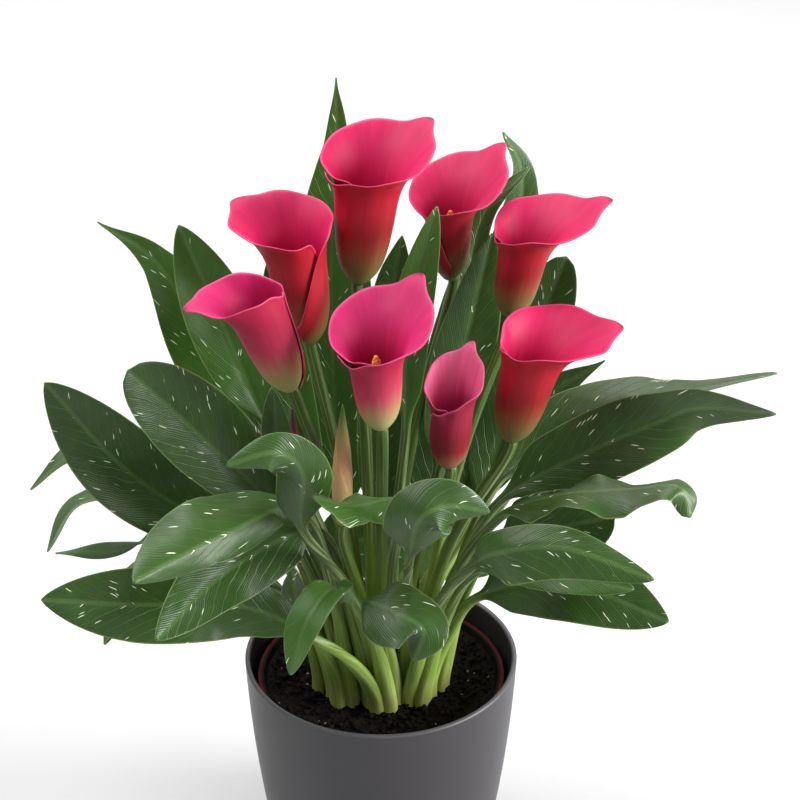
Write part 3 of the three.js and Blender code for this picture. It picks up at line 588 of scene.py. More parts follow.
    def _petiole(self, skin: Surface, kind: tuple, along: object, height: object) -> bpy.types.Node:
        """Colours the petiole from its whitish sheath in the soil up to the blade's green.

        Args:
            skin: The surface that takes the nodes.
            kind: The share of the half width, the side and the leaf's own number.
            along: The place along the leaf in mm.
            height: The height over the floor in metres.

        Returns:
            The colour.
        """
        add = skin.add
        reach, upper, tone = kind
        round_place = add("Math", {0: upper, 1: 2.0, 2: reach}, operation="MULTIPLY_ADD")
        section = add("CombineXYZ", {0: round_place, 1: along, 2: tone})
        stretch = add("VectorMath", {0: section, 1: (4.4, 0.016, 90.0)}, operation="MULTIPLY")
        ribs = add("TexNoise", {"Vector": stretch, "Scale": 1.0, "Detail": 3.0})
        climb = add("MapRange", {"Value": height, "From Min": self.green_rise[0],
                                 "From Max": self.green_rise[1]}, **SMOOTH)
        foot = add("MapRange", {"Value": height, "From Min": self.foot_fade[0], "From Max": self.foot_fade[1],
                                "To Min": 0.7, "To Max": 0.0}, **SMOOTH)
        low, top = linear(self.petiole_low), linear(self.petiole_top)
        body = add("Mix", {"Factor": climb, "A": low, "B": top}, **COLOUR)
        wide = add("VectorMath", {0: section, 1: (1.3, 0.012, 70.0)}, operation="MULTIPLY")
        patches = add("TexNoise", {"Vector": wide, "Scale": 1.0, "Detail": 3.0})
        stained = add("MapRange", {"Value": patches, "From Min": 0.45, "From Max": 0.75, "To Max": 0.5})
        marked = add("Mix", {"Factor": stained, "A": body, "B": linear(self.petiole_stain)}, **COLOUR)
        based = add("Mix", {"Factor": foot, "A": marked, "B": linear(self.petiole_foot)}, **COLOUR)
        lines = add("MapRange", {"Value": ribs, "From Min": 0.48, "From Max": 0.72, "To Max": 0.55})
        return add("Mix", {"Factor": lines, "A": based, "B": linear(self.streak)}, **COLOUR)


@dataclass(frozen=True)
class Leaf:
    """One leaf: its petiole and its waved blade, grown as one piece.

    The fields are the slot in the soil, the middle line from neck to tip, the greatest half width and where
    it lies, the fold in degrees, the rim's wave and its crests, the tip's form, the way the upper face
    looks, the roll at each point and the rim curl in degrees, the wave's phase, how much wider the right
    half is, and the tone.
    """

    name: str
    slot: tuple[int, int]
    line: tuple
    half: float
    widest: float
    fold: float
    wave: float
    crests: float
    taper: float = PLAIN
    face: tuple[float, float, float] = FRONT_UP
    roll: tuple = (0, 0)
    curl: float = 0
    phase: float = 0
    skew: float = 0
    tone: LeafTone = LeafTone.DEEP

    def half_width(self, share: np.ndarray) -> np.ndarray:
        """Gives the blade's half width at shares of its length."""
        rise = self.taper * self.widest / (1 - self.widest)
        shape = (share / self.widest) ** rise * ((1 - share) / (1 - self.widest)) ** self.taper
        return np.hypot(PETIOLE_NECK_RADIUS * (1 - share), self.half * shape) + BLADE_TIP_HALF_WIDTH * share

    def section(self, share: np.ndarray, columns: np.ndarray) -> tuple[np.ndarray, np.ndarray, np.ndarray]:
        """Bends the blade's cross-section.

        Args:
            share: Shares of the blade's length, one a ring.
            columns: Places from -1, the left rim, to 1, the right rim.

        Returns:
            The sideways place, the height and the slope of each column on each ring.
        """
        sign, reach = np.sign(columns), np.abs(columns)
        wide = self.half_width(share)[:, None] * (1 + sign * self.skew)
        inner = (np.arange(BEND_SAMPLES) + 0.5) / BEND_SAMPLES
        bends = np.radians(self.fold + self.curl * reach[:, None] * inner)
        x = wide * reach * np.cos(bends).mean(1)
        z = wide * reach * np.sin(bends).mean(1)
        phases = self.phase + np.where(sign > 0, RIGHT_RIM_PHASE, 0.0)
        swing = np.sin(2 * np.pi * self.crests * share[:, None] + phases)
        fast = RIPPLE_CRESTS * self.crests * share[:, None] + RIPPLE_START * self.half
        ripple = RIPPLE_SHARE * np.sin(2 * np.pi * fast + phases)
        calm = np.sin(np.pi * np.minimum(share * RIM_WAVE_END, 1))[:, None]
        z = z + self.wave * reach ** 2 * (swing + ripple * reach ** 2) * calm
        angle = np.broadcast_to(sign * np.radians(self.fold + self.curl * reach), x.shape)
        return sign * x, z, angle

    def blade_rings(self, share: np.ndarray, columns: np.ndarray, offset: np.ndarray) -> tuple:
        """Thickens the blade's section, with a groove over the midrib and a keel under it.

        Args:
            share: Shares of the blade's length, one a ring.
            columns: Places from -1, the left rim, to 1, the right rim.
            offset: The distance of each column from the midrib, with its side's sign.

        Returns:
            The sideways place and the height of each point, over the top and back underneath.
        """
        x, z, angle = self.section(share, columns)
        rounding = np.sqrt(np.clip(1 - np.abs(columns) ** RIM_ROUNDING[0], RIM_ROUNDING[1], 1))
        slim = (1 - share)[:, None]
        top = BLADE_THICKNESS / 2 * rounding - GROOVE[0] * bell(offset, GROOVE[1]) * slim ** 0.5
        low = -BLADE_THICKNESS / 2 * rounding - KEEL[0] * bell(offset, KEEL[1]) * slim
        flat_x = np.hstack([x - np.sin(angle) * top, (x - np.sin(angle) * low)[:, ::-1]])
        return flat_x, np.hstack([z + np.cos(angle) * top, (z + np.cos(angle) * low)[:, ::-1]])

    def looks(self, stalk: Stalk, steps: np.ndarray, along: np.ndarray) -> np.ndarray:
        """Finds the way in which the upper face looks at each ring.

        Args:
            stalk: The leaf's middle line.
            steps: The rings' places on it.
            along: The line's direction at each ring.

        Returns:
            Unit vectors square to the line.
        """
        neck = stalk.points[NECK_STEP]
        inward = unit(np.array([-neck[0], -neck[1], 0.0]))
        turn = smoothstep(*FACE_TURN, steps)[:, None]
        wanted = inward * (1 - turn) + np.array(self.face) * turn
        normal = unit(wanted - along * (wanted * along).sum(1, keepdims=True))
        rolls = np.interp(np.maximum(steps - NECK_STEP, 0), np.arange(len(self.roll)), self.roll)
        return turned(normal, along, np.radians(evened(rolls, mode="edge")))

    def build(self, material: bpy.types.Material, number: int) -> None:
        """Makes the leaf.

        Args:
            material: The leaf's material.
            number: The leaf's place in the table, which sets its own pattern apart.
        """
        stalk = Stalk(self.slot, self.line)
        columns = np.sin(np.linspace(-1, 1, BLADE_COLUMNS) * np.pi / 2)
        shares = np.linspace(0, 1, BLADE_RINGS + 1)[1:]
        steps = np.concatenate([np.linspace(0, NECK_STEP, PETIOLE_RINGS), stalk.blade_steps(shares)])
        share = np.concatenate([np.zeros(PETIOLE_RINGS), shares])
        centre, along = stalk.at(steps), stalk.along(steps)
        normal = self.looks(stalk, steps, along)
        side = np.cross(along, normal)
        offset = columns * self.half_width(share)[:, None]
        flat_x, flat_z = self.blade_rings(share, columns, offset)

        # Low down the petiole widens into a sheath, and higher up a channel runs along its inner side.
        turns = np.pi * (1 - (np.arange(2 * BLADE_COLUMNS) + 0.5) / BLADE_COLUMNS)
        radius = lerp(PETIOLE_FOOT_RADIUS, PETIOLE_NECK_RADIUS, np.minimum(steps / NECK_STEP, 1))[:, None]
        sheath = 1 - smoothstep(SHEATH_FULL, SHEATH_END, centre[:, 2])[:, None]
        channel = 1 - CHANNEL_DEPTH * bell(turns - np.pi / 2, CHANNEL_WIDTH) * (1 - sheath)
        blade = smoothstep(0, BLADE_START, share)[:, None]
        flat_x = lerp(radius * (1 + SHEATH_BREADTH * sheath) * np.cos(turns), flat_x, blade)
        flat_z = lerp(radius * (1 + SHEATH_DEPTH * sheath) * np.sin(turns) * channel, flat_z, blade)
        clump = np.round(stalk.root[0] / CLUMP_STEP) * CLUMP_STEP
        centre[:, 0] += CLUMP_PULL * (clump - stalk.root[0]) * sheath[:, 0]
        verts = centre[:, None] + side[:, None] * flat_x[..., None] + normal[:, None] * flat_z[..., None]

        length = np.concatenate([[0], np.cumsum(np.linalg.norm(np.diff(centre, axis=0), axis=1))])
        length = length[:, None] - length[PETIOLE_RINGS - 1] + PATTERN_SHIFT * number
        place = np.where(share > 0, share, steps / NECK_STEP - 1)[:, None]
        across = there_and_back(offset, offset.shape)
        reach = np.abs(np.concatenate([columns, columns[::-1]]))
        upper = np.repeat([1.0, 0.0], BLADE_COLUMNS)
        marks = {"blade": shader_mark(across.shape, across, length, place),
                 "leaf": shader_mark(across.shape, reach, upper, self.tone.value)}
        make_piece(self.name, self.name, "leaf", verts.reshape(-1, 3),
                   loft_faces(len(steps), 2 * BLADE_COLUMNS), [material], marks)


@dataclass(frozen=True)
class SpatheFinish:
    """Living calla spathe: a velvety petal-like leaf, darker where its throat narrows.

    The limb is pink with faint lengthwise veins and a thin pale rim, which is a painted highlight, and the
    tube fades to its foot.
    """

    name: str
    limb: str
    throat: str
    outside: str
    tube: str
    foot: str
    foot_top: float
    # margin is the colour of the painted highlight along the rim.
    margin: str = "d85c86"
    hook: str = "5a1626"
    rim_highlight_width: tuple[float, float] = (0.3, 1.6)

    def build(self) -> bpy.types.Material:
        """Makes the material."""
        petal = Surface(self.name, Roughness=0.56, IOR=1.36, Subsurface_Weight=0.12, Subsurface_Scale=0.002)
        add = petal.add
        _, (turn, share, inner) = petal.read("spathe")
        _, (rim, tip, _) = petal.read("spathe_rim")
        place = add("CombineXYZ", {0: turn, 1: share})
        stretch = add("VectorMath", {0: place, 1: (13.0, 1.3, 1.0)}, operation="MULTIPLY")
        streaks = add("TexNoise", {"Vector": stretch, "Scale": 1.0, "Detail": 4.0})
        fine_place = add("VectorMath", {0: place, 1: (150.0, 2.5, 1.0)}, operation="MULTIPLY")
        fine = add("TexNoise", {"Vector": fine_place, "Scale": 1.0, "Detail": 2.0})

        throat = add("MapRange", {"Value": share, "From Min": 0.45, "From Max": 0.8, **FALL}, **SMOOTH)
        inside = add("Mix", {"Factor": throat, "A": linear(self.limb), "B": linear(self.throat)}, **COLOUR)
        climb = add("MapRange", {"Value": share, "From Min": 0.42, "From Max": 0.72}, **SMOOTH)
        upper = add("Mix", {"Factor": climb, "A": linear(self.tube), "B": linear(self.outside)}, **COLOUR)
        wander = add("Math", {0: streaks, 1: 0.35, 2: share}, operation="MULTIPLY_ADD")
        low = add("MapRange", {"Value": wander, "From Min": 0.2, "From Max": 0.2 + self.foot_top, **FALL},
                  **SMOOTH)
        outside = add("Mix", {"Factor": low, "A": upper, "B": linear(self.foot)}, **COLOUR)
        body = add("Mix", {"Factor": inner, "A": outside, "B": inside}, **COLOUR)

        shade = add("MapRange", {"Value": streaks, "From Min": 0.35, "From Max": 0.7, "To Min": 0.9,
                                 "To Max": 1.1})
        lined = add("MapRange", {"Value": fine, "From Min": 0.3, "From Max": 0.7, "To Min": 0.95,
                                 "To Max": 1.05})
        light = add("Math", {0: shade, 1: lined}, operation="MULTIPLY")
        streaked = add("VectorMath", {0: body, "Scale": light}, operation="SCALE")
        # Near the rim the colour is mixed towards the pale margin colour: a painted highlight.
        edge = add("MapRange", {"Value": rim, "From Min": self.rim_highlight_width[0],
                                "From Max": self.rim_highlight_width[1], "To Min": 0.4, "To Max": 0.0}, **SMOOTH)
        edged = add("Mix", {"Factor": edge, "A": streaked, "B": linear(self.margin)}, **COLOUR)
        petal.feed("Base Color", add("Mix", {"Factor": tip, "A": edged, "B": linear(self.hook)}, **COLOUR))

        relief = add("Math", {0: fine, 1: 0.4, 2: streaks}, operation="MULTIPLY_ADD")
        petal.feed("Normal", add("Bump", {"Height": relief, "Strength": 0.25, "Distance": 0.0006}))
        return petal.material


class SpatheKind(Enum):
    """The ways in which a spathe's colour runs out towards its foot."""

    OLIVE_FOOT = SpatheFinish("living calla spathe with an olive foot", "ba134f", "b40f47", "a20a22",
                              "80060f", "66602f", 0.46)
    CREAM_FOOT = SpatheFinish("living calla spathe with a cream foot", "b81a5c", "aa124a", "9a1438",
                              "a42644", "96965c", 0.48)
    CRIMSON = SpatheFinish("living calla spathe, half open", "e0628e", "b23466", "861232",
                           "780a1c", "8a5a40", 0.3)


@dataclass(frozen=True)
class StemFinish:
    """Living flower stem: smooth, pale at its foot, olive green above, with pale streaks along it."""

    low: str = "86a236"
    top: str = "34500f"
    streak: str = "a9b56a"
    green_rise: tuple[float, float] = (0.14, 0.25)
    ribs_per_mm: tuple[float, float, float] = (0.9, 0.9, 0.014)

    def build(self) -> bpy.types.Material:
        """Makes the material."""
        skin = Surface("living calla flower stem", Roughness=0.42, IOR=1.45, Subsurface_Weight=0.1,
                       Subsurface_Scale=0.002)
        add = skin.add
        section, _ = skin.read("stem")
        stretch = add("VectorMath", {0: section, 1: self.ribs_per_mm}, operation="MULTIPLY")
        ribs = add("TexNoise", {"Vector": stretch, "Scale": 1.0, "Detail": 3.0})
        climb = add("MapRange", {"Value": skin.height(), "From Min": self.green_rise[0],
                                 "From Max": self.green_rise[1]}, **SMOOTH)
        body = add("Mix", {"Factor": climb, "A": linear(self.low), "B": linear(self.top)}, **COLOUR)
        lines = add("MapRange", {"Value": ribs, "From Min": 0.5, "From Max": 0.72, "To Max": 0.45})
        skin.feed("Base Color", add("Mix", {"Factor": lines, "A": body, "B": linear(self.streak)}, **COLOUR))
        skin.feed("Normal", add("Bump", {"Height": ribs, "Strength": 0.3, "Distance": 0.0004}))
        return skin.material


@dataclass(frozen=True)
class SpadixFinish:
    """Living calla spadix: hundreds of tiny orange-yellow florets, dusty and matt."""

    floret: str = "f0a53a"
    gap: str = "b5541c"
    florets_per_metre: float = 900.0

    def build(self) -> bpy.types.Material:
        """Makes the material."""
        skin = Surface("living calla spadix", Roughness=0.75, Subsurface_Weight=0.1, Subsurface_Scale=0.001)
        add = skin.add
        dots = add("TexVoronoi", {"Vector": add("NewGeometry"), "Scale": self.florets_per_metre})
        cells = dots.outputs["Distance"]
        colours = {"A": linear(self.floret), "B": linear(self.gap)}
        skin.feed("Base Color", add("Mix", {"Factor": cells, **colours}, **COLOUR))
        bump = add("Bump", {"Height": cells, "Strength": 0.8, "Distance": 0.0006}, invert=True)
        skin.feed("Normal", bump)
        return skin.material


@dataclass(frozen=True)
class Bloom:
    """One bloom: the stem with the spadix that it ends in, and the spathe rolled round the spadix.

    The fields are the slot in the soil, where the spathe starts, the way its tube leans, the tube's length,
    the spadix's share of it, the throat's radius, how far the limb reaches past the tube at its tip and its
    low side, the tip's compass angle, the flare of both sides in degrees, the side that wraps outside, how
    far in degrees the spathe wraps and its margin falls, and its colours.
    """

    name: str
    slot: tuple[int, int]
    base: tuple[float, float, float]
    lean: tuple[float, float, float]
    tube: float
    spadix: float
    throat: float
    tip_reach: float
    low_reach: float
    tip_angle: float
    tip_flare: float
    low_flare: float
    wrap: float
    margin_run: float
    turn: int = -1
    kind: SpatheKind = SpatheKind.OLIVE_FOOT

    def reach(self, degrees: np.ndarray) -> np.ndarray:
        """Gives how long the spathe is at angles from its tip."""
        rise = ((1 + np.cos(np.radians(degrees))) / 2) ** 0.8
        point = TIP_POINT * self.tip_reach * bell(degrees, TIP_POINT_WIDTH)
        limb = lerp(self.low_reach, self.tip_reach, rise)
        drop = smoothstep(self.wrap - self.margin_run, self.wrap + MARGIN_FOOT, np.abs(degrees))
        return (self.tube + limb + point) * (1 - MARGIN_DROP * drop)

    def slope(self, degrees: np.ndarray, length: np.ndarray) -> np.ndarray:
        """Gives the spathe's slope from its axis, in degrees.

        Args:
            degrees: Angles from the tip.
            length: Lengths from the spathe's foot.

        Returns:
            One slope for each angle and length.
        """
        side = (1 - np.cos(np.radians(degrees))) / 2
        foot = SPATHE_FOOT_SLOPE * np.exp(-length / (SPATHE_FOOT_SHARE * self.tube))
        flare = lerp(self.tip_flare, self.low_flare, side)
        opened = smoothstep(SPATHE_FLARE_START * self.tube, self.tube + SPATHE_FLARE_LENGTH, length)
        hook_rise = smoothstep(0.86, 1.05, length / self.reach(np.zeros(1)))
        hook = TIP_HOOK * bell(degrees, TIP_HOOK_WIDTH) * hook_rise
        return SPATHE_SLOPE_PER_THROAT * self.throat + foot + flare * opened + hook

    def rise(self, degrees: np.ndarray, share: np.ndarray) -> tuple:
        """Lays the spathe's middle sheet round an upright axis, from its foot up its slope.

        Args:
            degrees: Angles from the tip, one a row.
            share: Shares of the spathe's length, one a column.

        Returns:
            The radius, the height and the slope of each point, and how free the limb is to curl there.
        """
        reach = self.reach(degrees)
        length = share * reach
        calm = 1 - smoothstep(self.wrap - SPATHE_CALM[0], self.wrap - SPATHE_CALM[1], np.abs(degrees))
        lip = SPATHE_LIP * smoothstep(0.95, 1.0, share) * calm
        slope = np.radians(self.slope(degrees, length) + lip)
        step = reach / SPATHE_STEPS
        start = STEM_TOP_RADIUS + SPATHE_COLLAR_GAP + SPATHE_THICKNESS / 2 + 0.6 * SPATHE_OVERLAP_GAP
        radius = start + np.cumsum(np.hstack([0 * reach, np.sin(slope[:, :-1]) * step]), axis=1)
        height = 1 + np.cumsum(np.hstack([0 * reach, np.cos(slope[:, :-1]) * step]), axis=1)
        radius = radius - SPATHE_TUCK * np.exp(-length / SPATHE_TUCK_LENGTHS[0])
        height = height - SPATHE_TUCK * np.exp(-length / SPATHE_TUCK_LENGTHS[1])
        return radius, height, slope, calm

    def build_spathe(self, material: bpy.types.Material) -> None:
        """Makes the spathe as one thin sheet that wraps round past itself.

        Args:
            material: The material of the spathe.
        """
        half_turn = np.linspace(0, 1, SPATHE_HALF_STEPS) ** SPATHE_ANGLE_POWER * self.wrap
        degrees = np.concatenate([-half_turn[:0:-1], half_turn])[:, None]
        share = np.linspace(0, 1, SPATHE_STEPS + 1)[None, :]
        radius, height, slope, calm = self.rise(degrees, share)

        # The limb ripples a little, and one side passes outside the other.
        starts = (self.tube, self.throat)
        wave = sum(high * np.sin(np.radians(waves * degrees) + start)
                   for (high, waves), start in zip(LIMB_RIPPLES, starts))
        ripple = wave * smoothstep(0.75, 1.0, share) * calm
        spiral = SPATHE_OVERLAP_GAP * self.turn * degrees / 360 + ripple
        thick = SPATHE_THICKNESS / 2 * (1 - SPATHE_MARGIN_THINNING * smoothstep(0.9, 1.0, share))
        compass = np.radians(self.tip_angle + degrees)
        sheets = []
        for shift in (spiral - thick, spiral + thick):
            out = radius + shift * np.cos(slope)
            up = height - shift * np.sin(slope)
            sheets.append(np.stack([out * np.cos(compass), out * np.sin(compass), up], -1))
        rings = np.concatenate([sheets[0], sheets[1][:, ::-1]], axis=1)
        axis = Vector(self.lean).normalized()
        upright = np.array(Vector(UP).rotation_difference(axis).to_matrix())
        verts = rings @ upright.T + np.array(self.base)

        inner = np.hstack([np.ones_like(radius), np.zeros_like(radius)])
        tip = bell(degrees, 5.0) * smoothstep(0.965, 0.995, share)
        to_rim = (1 - share) * self.reach(degrees)
        turn, run, rim, hook = (there_and_back(values, radius.shape)
                                for values in (degrees / 180, share, to_rim, tip))
        marks = {"spathe": shader_mark(inner.shape, turn, run, inner),
                 "spathe_rim": shader_mark(inner.shape, rim, hook, 0.0)}
        name = self.name + "_spathe"
        make_piece(name, name, "spathe", verts.reshape(-1, 3), loft_faces(*inner.shape), [material], marks)

    def build_stem(self, green: bpy.types.Material, yellow: bpy.types.Material) -> None:
        """Makes the stem and the spadix that it ends in.

        Args:
            green: The stem's material.
            yellow: The spadix's material.
        """
        axis = unit(np.array(self.lean, float))
        base = np.array(self.base, float)
        centres, along, radii = stem_line(self.slot, base, axis, STEM_RINGS)
        rise = np.linspace(0.02, 1, STEM_RINGS)
        outline = np.interp(rise, [0.02, 0.08, 0.33, 0.38, 0.72, 0.92, 1],
                            [STEM_TOP_RADIUS, SPADIX_STALK_RADIUS, SPADIX_STALK_RADIUS, SPADIX_RADIUS,
                             SPADIX_RADIUS, SPADIX_RADIUS * 0.8, SPADIX_RADIUS * 0.3])
        rows = np.cos(np.pi * np.arange(STEM_RINGS))[:, None]
        bumps = np.sin(FLORETS_ROUND * whole_turn(STEM_SIDES)) * rows
        bearing = (smoothstep(0.34, 0.4, rise) * (1 - smoothstep(0.93, 1.0, rise)))[:, None]
        florets = FLORET_HEIGHT * bumps * bearing
        radii = np.concatenate([np.repeat(radii, STEM_SIDES, 1), outline[:, None] + florets])
        centres = np.concatenate([centres, base + axis * (rise * self.spadix * self.tube)[:, None]])
        along = np.concatenate([along, np.repeat(axis[None], STEM_RINGS, 0)])
        faces = loft_faces(len(centres), STEM_SIDES)
        yellow_start = (STEM_RINGS + SPADIX_STALK_RINGS) * STEM_SIDES
        kinds = [int(min(face) >= yellow_start) for face in faces]
        name = self.name + "_stem"
        make_piece(name, name, "stem", round_rings(centres, along, radii), faces, [green, yellow],
                   stem_marks(centres, radii), kinds)


@dataclass(frozen=True)
class BudFinish:
    """Living calla bud: a spathe still rolled tight, satin, green where it closes."""

    name: str
    slot: str
    low: str
    middle: str
    tip: str

    def build(self) -> bpy.types.Material:
        """Makes the material."""
        skin = Surface(self.name, Roughness=0.45, IOR=1.42, Subsurface_Weight=0.12, Subsurface_Scale=0.002)
        add = skin.add
        _, (turn, share, _) = skin.read("bud")
        place = add("CombineXYZ", {0: turn, 1: share})
        stretch = add("VectorMath", {0: place, 1: (16.0, 1.2, 1.0)}, operation="MULTIPLY")
        streaks = add("TexNoise", {"Vector": stretch, "Scale": 1.0, "Detail": 3.0})
        climb = add("Math", {0: streaks, 1: 0.3, 2: share}, operation="MULTIPLY_ADD")
        first = add("MapRange", {"Value": climb, "From Min": 0.25, "From Max": 0.6})
        second = add("MapRange", {"Value": climb, "From Min": 0.75, "From Max": 1.05})
        body = add("Mix", {"Factor": first, "A": linear(self.low), "B": linear(self.middle)}, **COLOUR)
        skin.feed("Base Color", add("Mix", {"Factor": second, "A": body, "B": linear(self.tip)}, **COLOUR))
        skin.feed("Normal", add("Bump", {"Height": streaks, "Strength": 0.3, "Distance": 0.0005}))
        return skin.material


class BudKind(Enum):
    """The colours of the closed buds."""

    OLIVE = BudFinish("living calla bud, olive and salmon", "bud_olive", "8a8a4e", "b98a62", "4f6a2c")
    MAROON = BudFinish("living calla bud, maroon", "bud_maroon", "6b2a3c", "7e1f3a", "4b1f2c")


@dataclass(frozen=True)
class Bud:
    """One closed bud: its stem and its rolled spathe.

    The fields are the slot in the soil, where the rolled spathe starts, its lean, its length and radius.
    """

    name: str
    slot: tuple[int, int]
    base: tuple[float, float, float]
    lean: tuple[float, float, float]
    length: float
    radius: float
    kind: BudKind

    def build(self, green: bpy.types.Material) -> None:
        """Makes the stem and the rolled spathe.

        Args:
            green: The stem's material.
        """
        axis = unit(np.array(self.lean, float))
        base = np.array(self.base, float)
        rings, sides = BUD_RINGS[0], BUD_SIDES[0]
        centres, along, radii = stem_line(self.slot, base, axis, rings)
        radii = np.repeat(radii, sides, 1)
        stem = self.name + "_stem"
        make_piece(stem, stem, "stem", round_rings(centres, along, radii), loft_faces(rings, sides), [green],
                   stem_marks(centres, radii))

        rings, sides = BUD_RINGS[1], BUD_SIDES[1]
        share = np.linspace(0, 1, rings)
        smooth = evened(np.interp(share, *BUD_OUTLINE), mode="reflect", reflect_type="odd")
        seam = (np.arange(sides) / sides + BUD_SEAM_TURN * share[:, None]) % 1
        radii = self.radius * smooth[:, None] * (1 - BUD_SEAM_DEPTH * (1 - seam) ** 3)
        centres = base + axis * (0.3 + share * self.length)[:, None]
        name = self.name + "_spathe"
        make_piece(name, name, self.kind.value.slot,
                   round_rings(centres, np.repeat(axis[None], rings, 0), radii), loft_faces(rings, sides),
                   [self.kind.value.build()], {"bud": shader_mark(seam.shape, seam, share[:, None], 0.0)})


def lathe(profile: list, segments: int) -> tuple[np.ndarray, list]:
    """Turns a profile round the upright axis.

    Args:
        profile: Radius and height of each point, closed on itself away from the axis.
        segments: How many times the profile is repeated round the axis.

    Returns:
        The points and the faces.
    """
    turns = whole_turn(segments)[:, None]
    radii, heights = np.array(profile, float).T
    verts = np.stack([radii * np.cos(turns), radii * np.sin(turns),
                      np.broadcast_to(heights, (segments, len(radii)))], -1)
    count = len(radii)
    faces = []
    for k in range(segments):
        here, following = k * count, (k + 1) % segments * count
        for i in range(count - 1):
            faces.append((here + i, following + i, following + i + 1, here + i + 1))
    faces.append(tuple(k * count for k in reversed(range(segments))))
    faces.append(tuple(k * count + count - 1 for k in range(segments)))
    return verts.reshape(-1, 3), faces


@dataclass(frozen=True)
class CoverFinish:
    """Moulded polypropylene, anthracite: a fine mould grain takes the shine off, and the top of the lip is
    painted pale as a highlight.
    """

    dark: str = "2b292d"
    light: str = "322f33"
    lip_highlight: str = "565456"
    lip: tuple[float, float] = (0.1382, 0.1396)
    clouds_per_metre: float = 30.0
    grains_per_metre: float = 1600.0

    def build(self) -> bpy.types.Material:
        """Makes the material."""
        plastic = Surface("moulded polypropylene, anthracite", Roughness=0.42, IOR=1.49)
        add = plastic.add
        position = add("NewGeometry")
        cloud = add("TexNoise", {"Vector": position, "Scale": self.clouds_per_metre, "Detail": 3.0})
        colour = add("Mix", {"Factor": cloud, "A": linear(self.dark), "B": linear(self.light)}, **COLOUR)
        # The top of the lip is mixed towards a pale grey: a painted highlight.
        lip = add("MapRange", {"Value": plastic.height(), "From Min": self.lip[0], "From Max": self.lip[1],
                               "To Max": 0.7}, **SMOOTH)
        plastic.feed("Base Color", add("Mix", {"Factor": lip, "A": colour, "B": linear(self.lip_highlight)}, **COLOUR))
        plastic.feed("Roughness", add("MapRange", {"Value": cloud, "To Min": 0.38, "To Max": 0.46}))
        grain = add("TexNoise", {"Vector": position, "Scale": self.grains_per_metre, "Detail": 2.0})
        plastic.feed("Normal", add("Bump", {"Height": grain, "Strength": 0.12, "Distance": 0.0002}))
        return plastic.material


@dataclass(frozen=True)
class CoverPot:
    """The cover pot: a tapered wall with a slight belly, a rounded foot and a rounded lip."""

    height: float = 140.0
    rim_radius: float = 77.5
    wall: float = 3.0
    floor: float = 4.0
    floor_hole: float = 1.0
    foot_rounding: float = 6.0
    lip_rounding: float = 1.3
    taper: float = 0.045
    belly: float = 0.00054
    segments: int = 180

    def outer_radius(self, height: np.ndarray) -> np.ndarray:
        """Gives the outer radius at a height."""
        drop = self.height - np.asarray(height, float)
        return self.rim_radius - self.taper * drop - self.belly * drop ** 2

    def build(self) -> None:
        """Makes the pot."""
        rounding, lip_start = self.foot_rounding, self.height - self.lip_rounding
        foot_centre = float(self.outer_radius(rounding)) - rounding
        foot = [(foot_centre + rounding * math.sin(a), rounding * (1 - math.cos(a)))
                for a in np.linspace(0, np.pi / 2, 9)]
        heights = np.linspace(rounding, lip_start, 26)[1:]
        outer = list(zip(self.outer_radius(heights), heights))
        half = self.wall / 2
        lip = [(self.rim_radius + half * (math.cos(a) - 1), lip_start + self.lip_rounding * math.sin(a))
               for a in np.linspace(0, math.pi, 13)[1:-1]]
        inside = np.linspace(lip_start, self.floor + rounding, 20)
        inner = list(zip(self.outer_radius(inside) - self.wall, inside))
        floor = [(foot_centre - self.wall, self.floor), (self.floor_hole, self.floor)]
        verts, faces = lathe([(self.floor_hole, 0.0), *foot, *outer, *lip, *inner, *floor], self.segments)
        make_piece("cover_pot_shell", "cover_pot", "cover_pot", verts, faces, [CoverFinish().build()])


@dataclass(frozen=True)
class GrowPotFinish:
    """Thermoformed polypropylene, maroon brown: thin, dull, and near black on its inner side."""

    maroon: str = "5e1c22"
    near_black: str = "0c0908"
    dust_per_metre: float = 160.0
    rim_radii: tuple[float, float] = (0.0682, 0.0688)

    def dress(self, pot: bpy.types.Object) -> None:
        """Gives the material to the frame's own solid, which stays.

        Args:
            pot: The frame's grow pot.
        """
        plastic = Surface("thermoformed polypropylene, maroon brown", Roughness=0.7, IOR=1.2)
        add = plastic.add
        position = add("NewGeometry")
        dust = add("TexNoise", {"Vector": position, "Scale": self.dust_per_metre, "Detail": 5.0})
        amount = add("MapRange", {"Value": dust, "From Min": 0.45, "From Max": 0.7, "To Max": 0.5})
        flat = add("VectorMath", {0: position, 1: (1.0, 1.0, 0.0)}, operation="MULTIPLY")
        radius = add("VectorMath", {0: flat}, operation="LENGTH").outputs["Value"]
        # Inside the rim's outer edge the plastic is drawn near black, and the dust patches take the same near
        # black.
        inner = add("MapRange", {"Value": radius, "From Min": self.rim_radii[0],
                                 "From Max": self.rim_radii[1], **FALL})
        soil = add("Math", {0: amount, 1: inner}, operation="MAXIMUM")
        colours = {"A": linear(self.maroon), "B": linear(self.near_black)}
        plastic.feed("Base Color", add("Mix", {"Factor": soil, **colours}, **COLOUR))
        plastic.feed("Normal", add("Bump", {"Height": dust, "Strength": 0.2, "Distance": 0.0004}))
        pot.data.materials.clear()
        pot.data.materials.append(plastic.material)


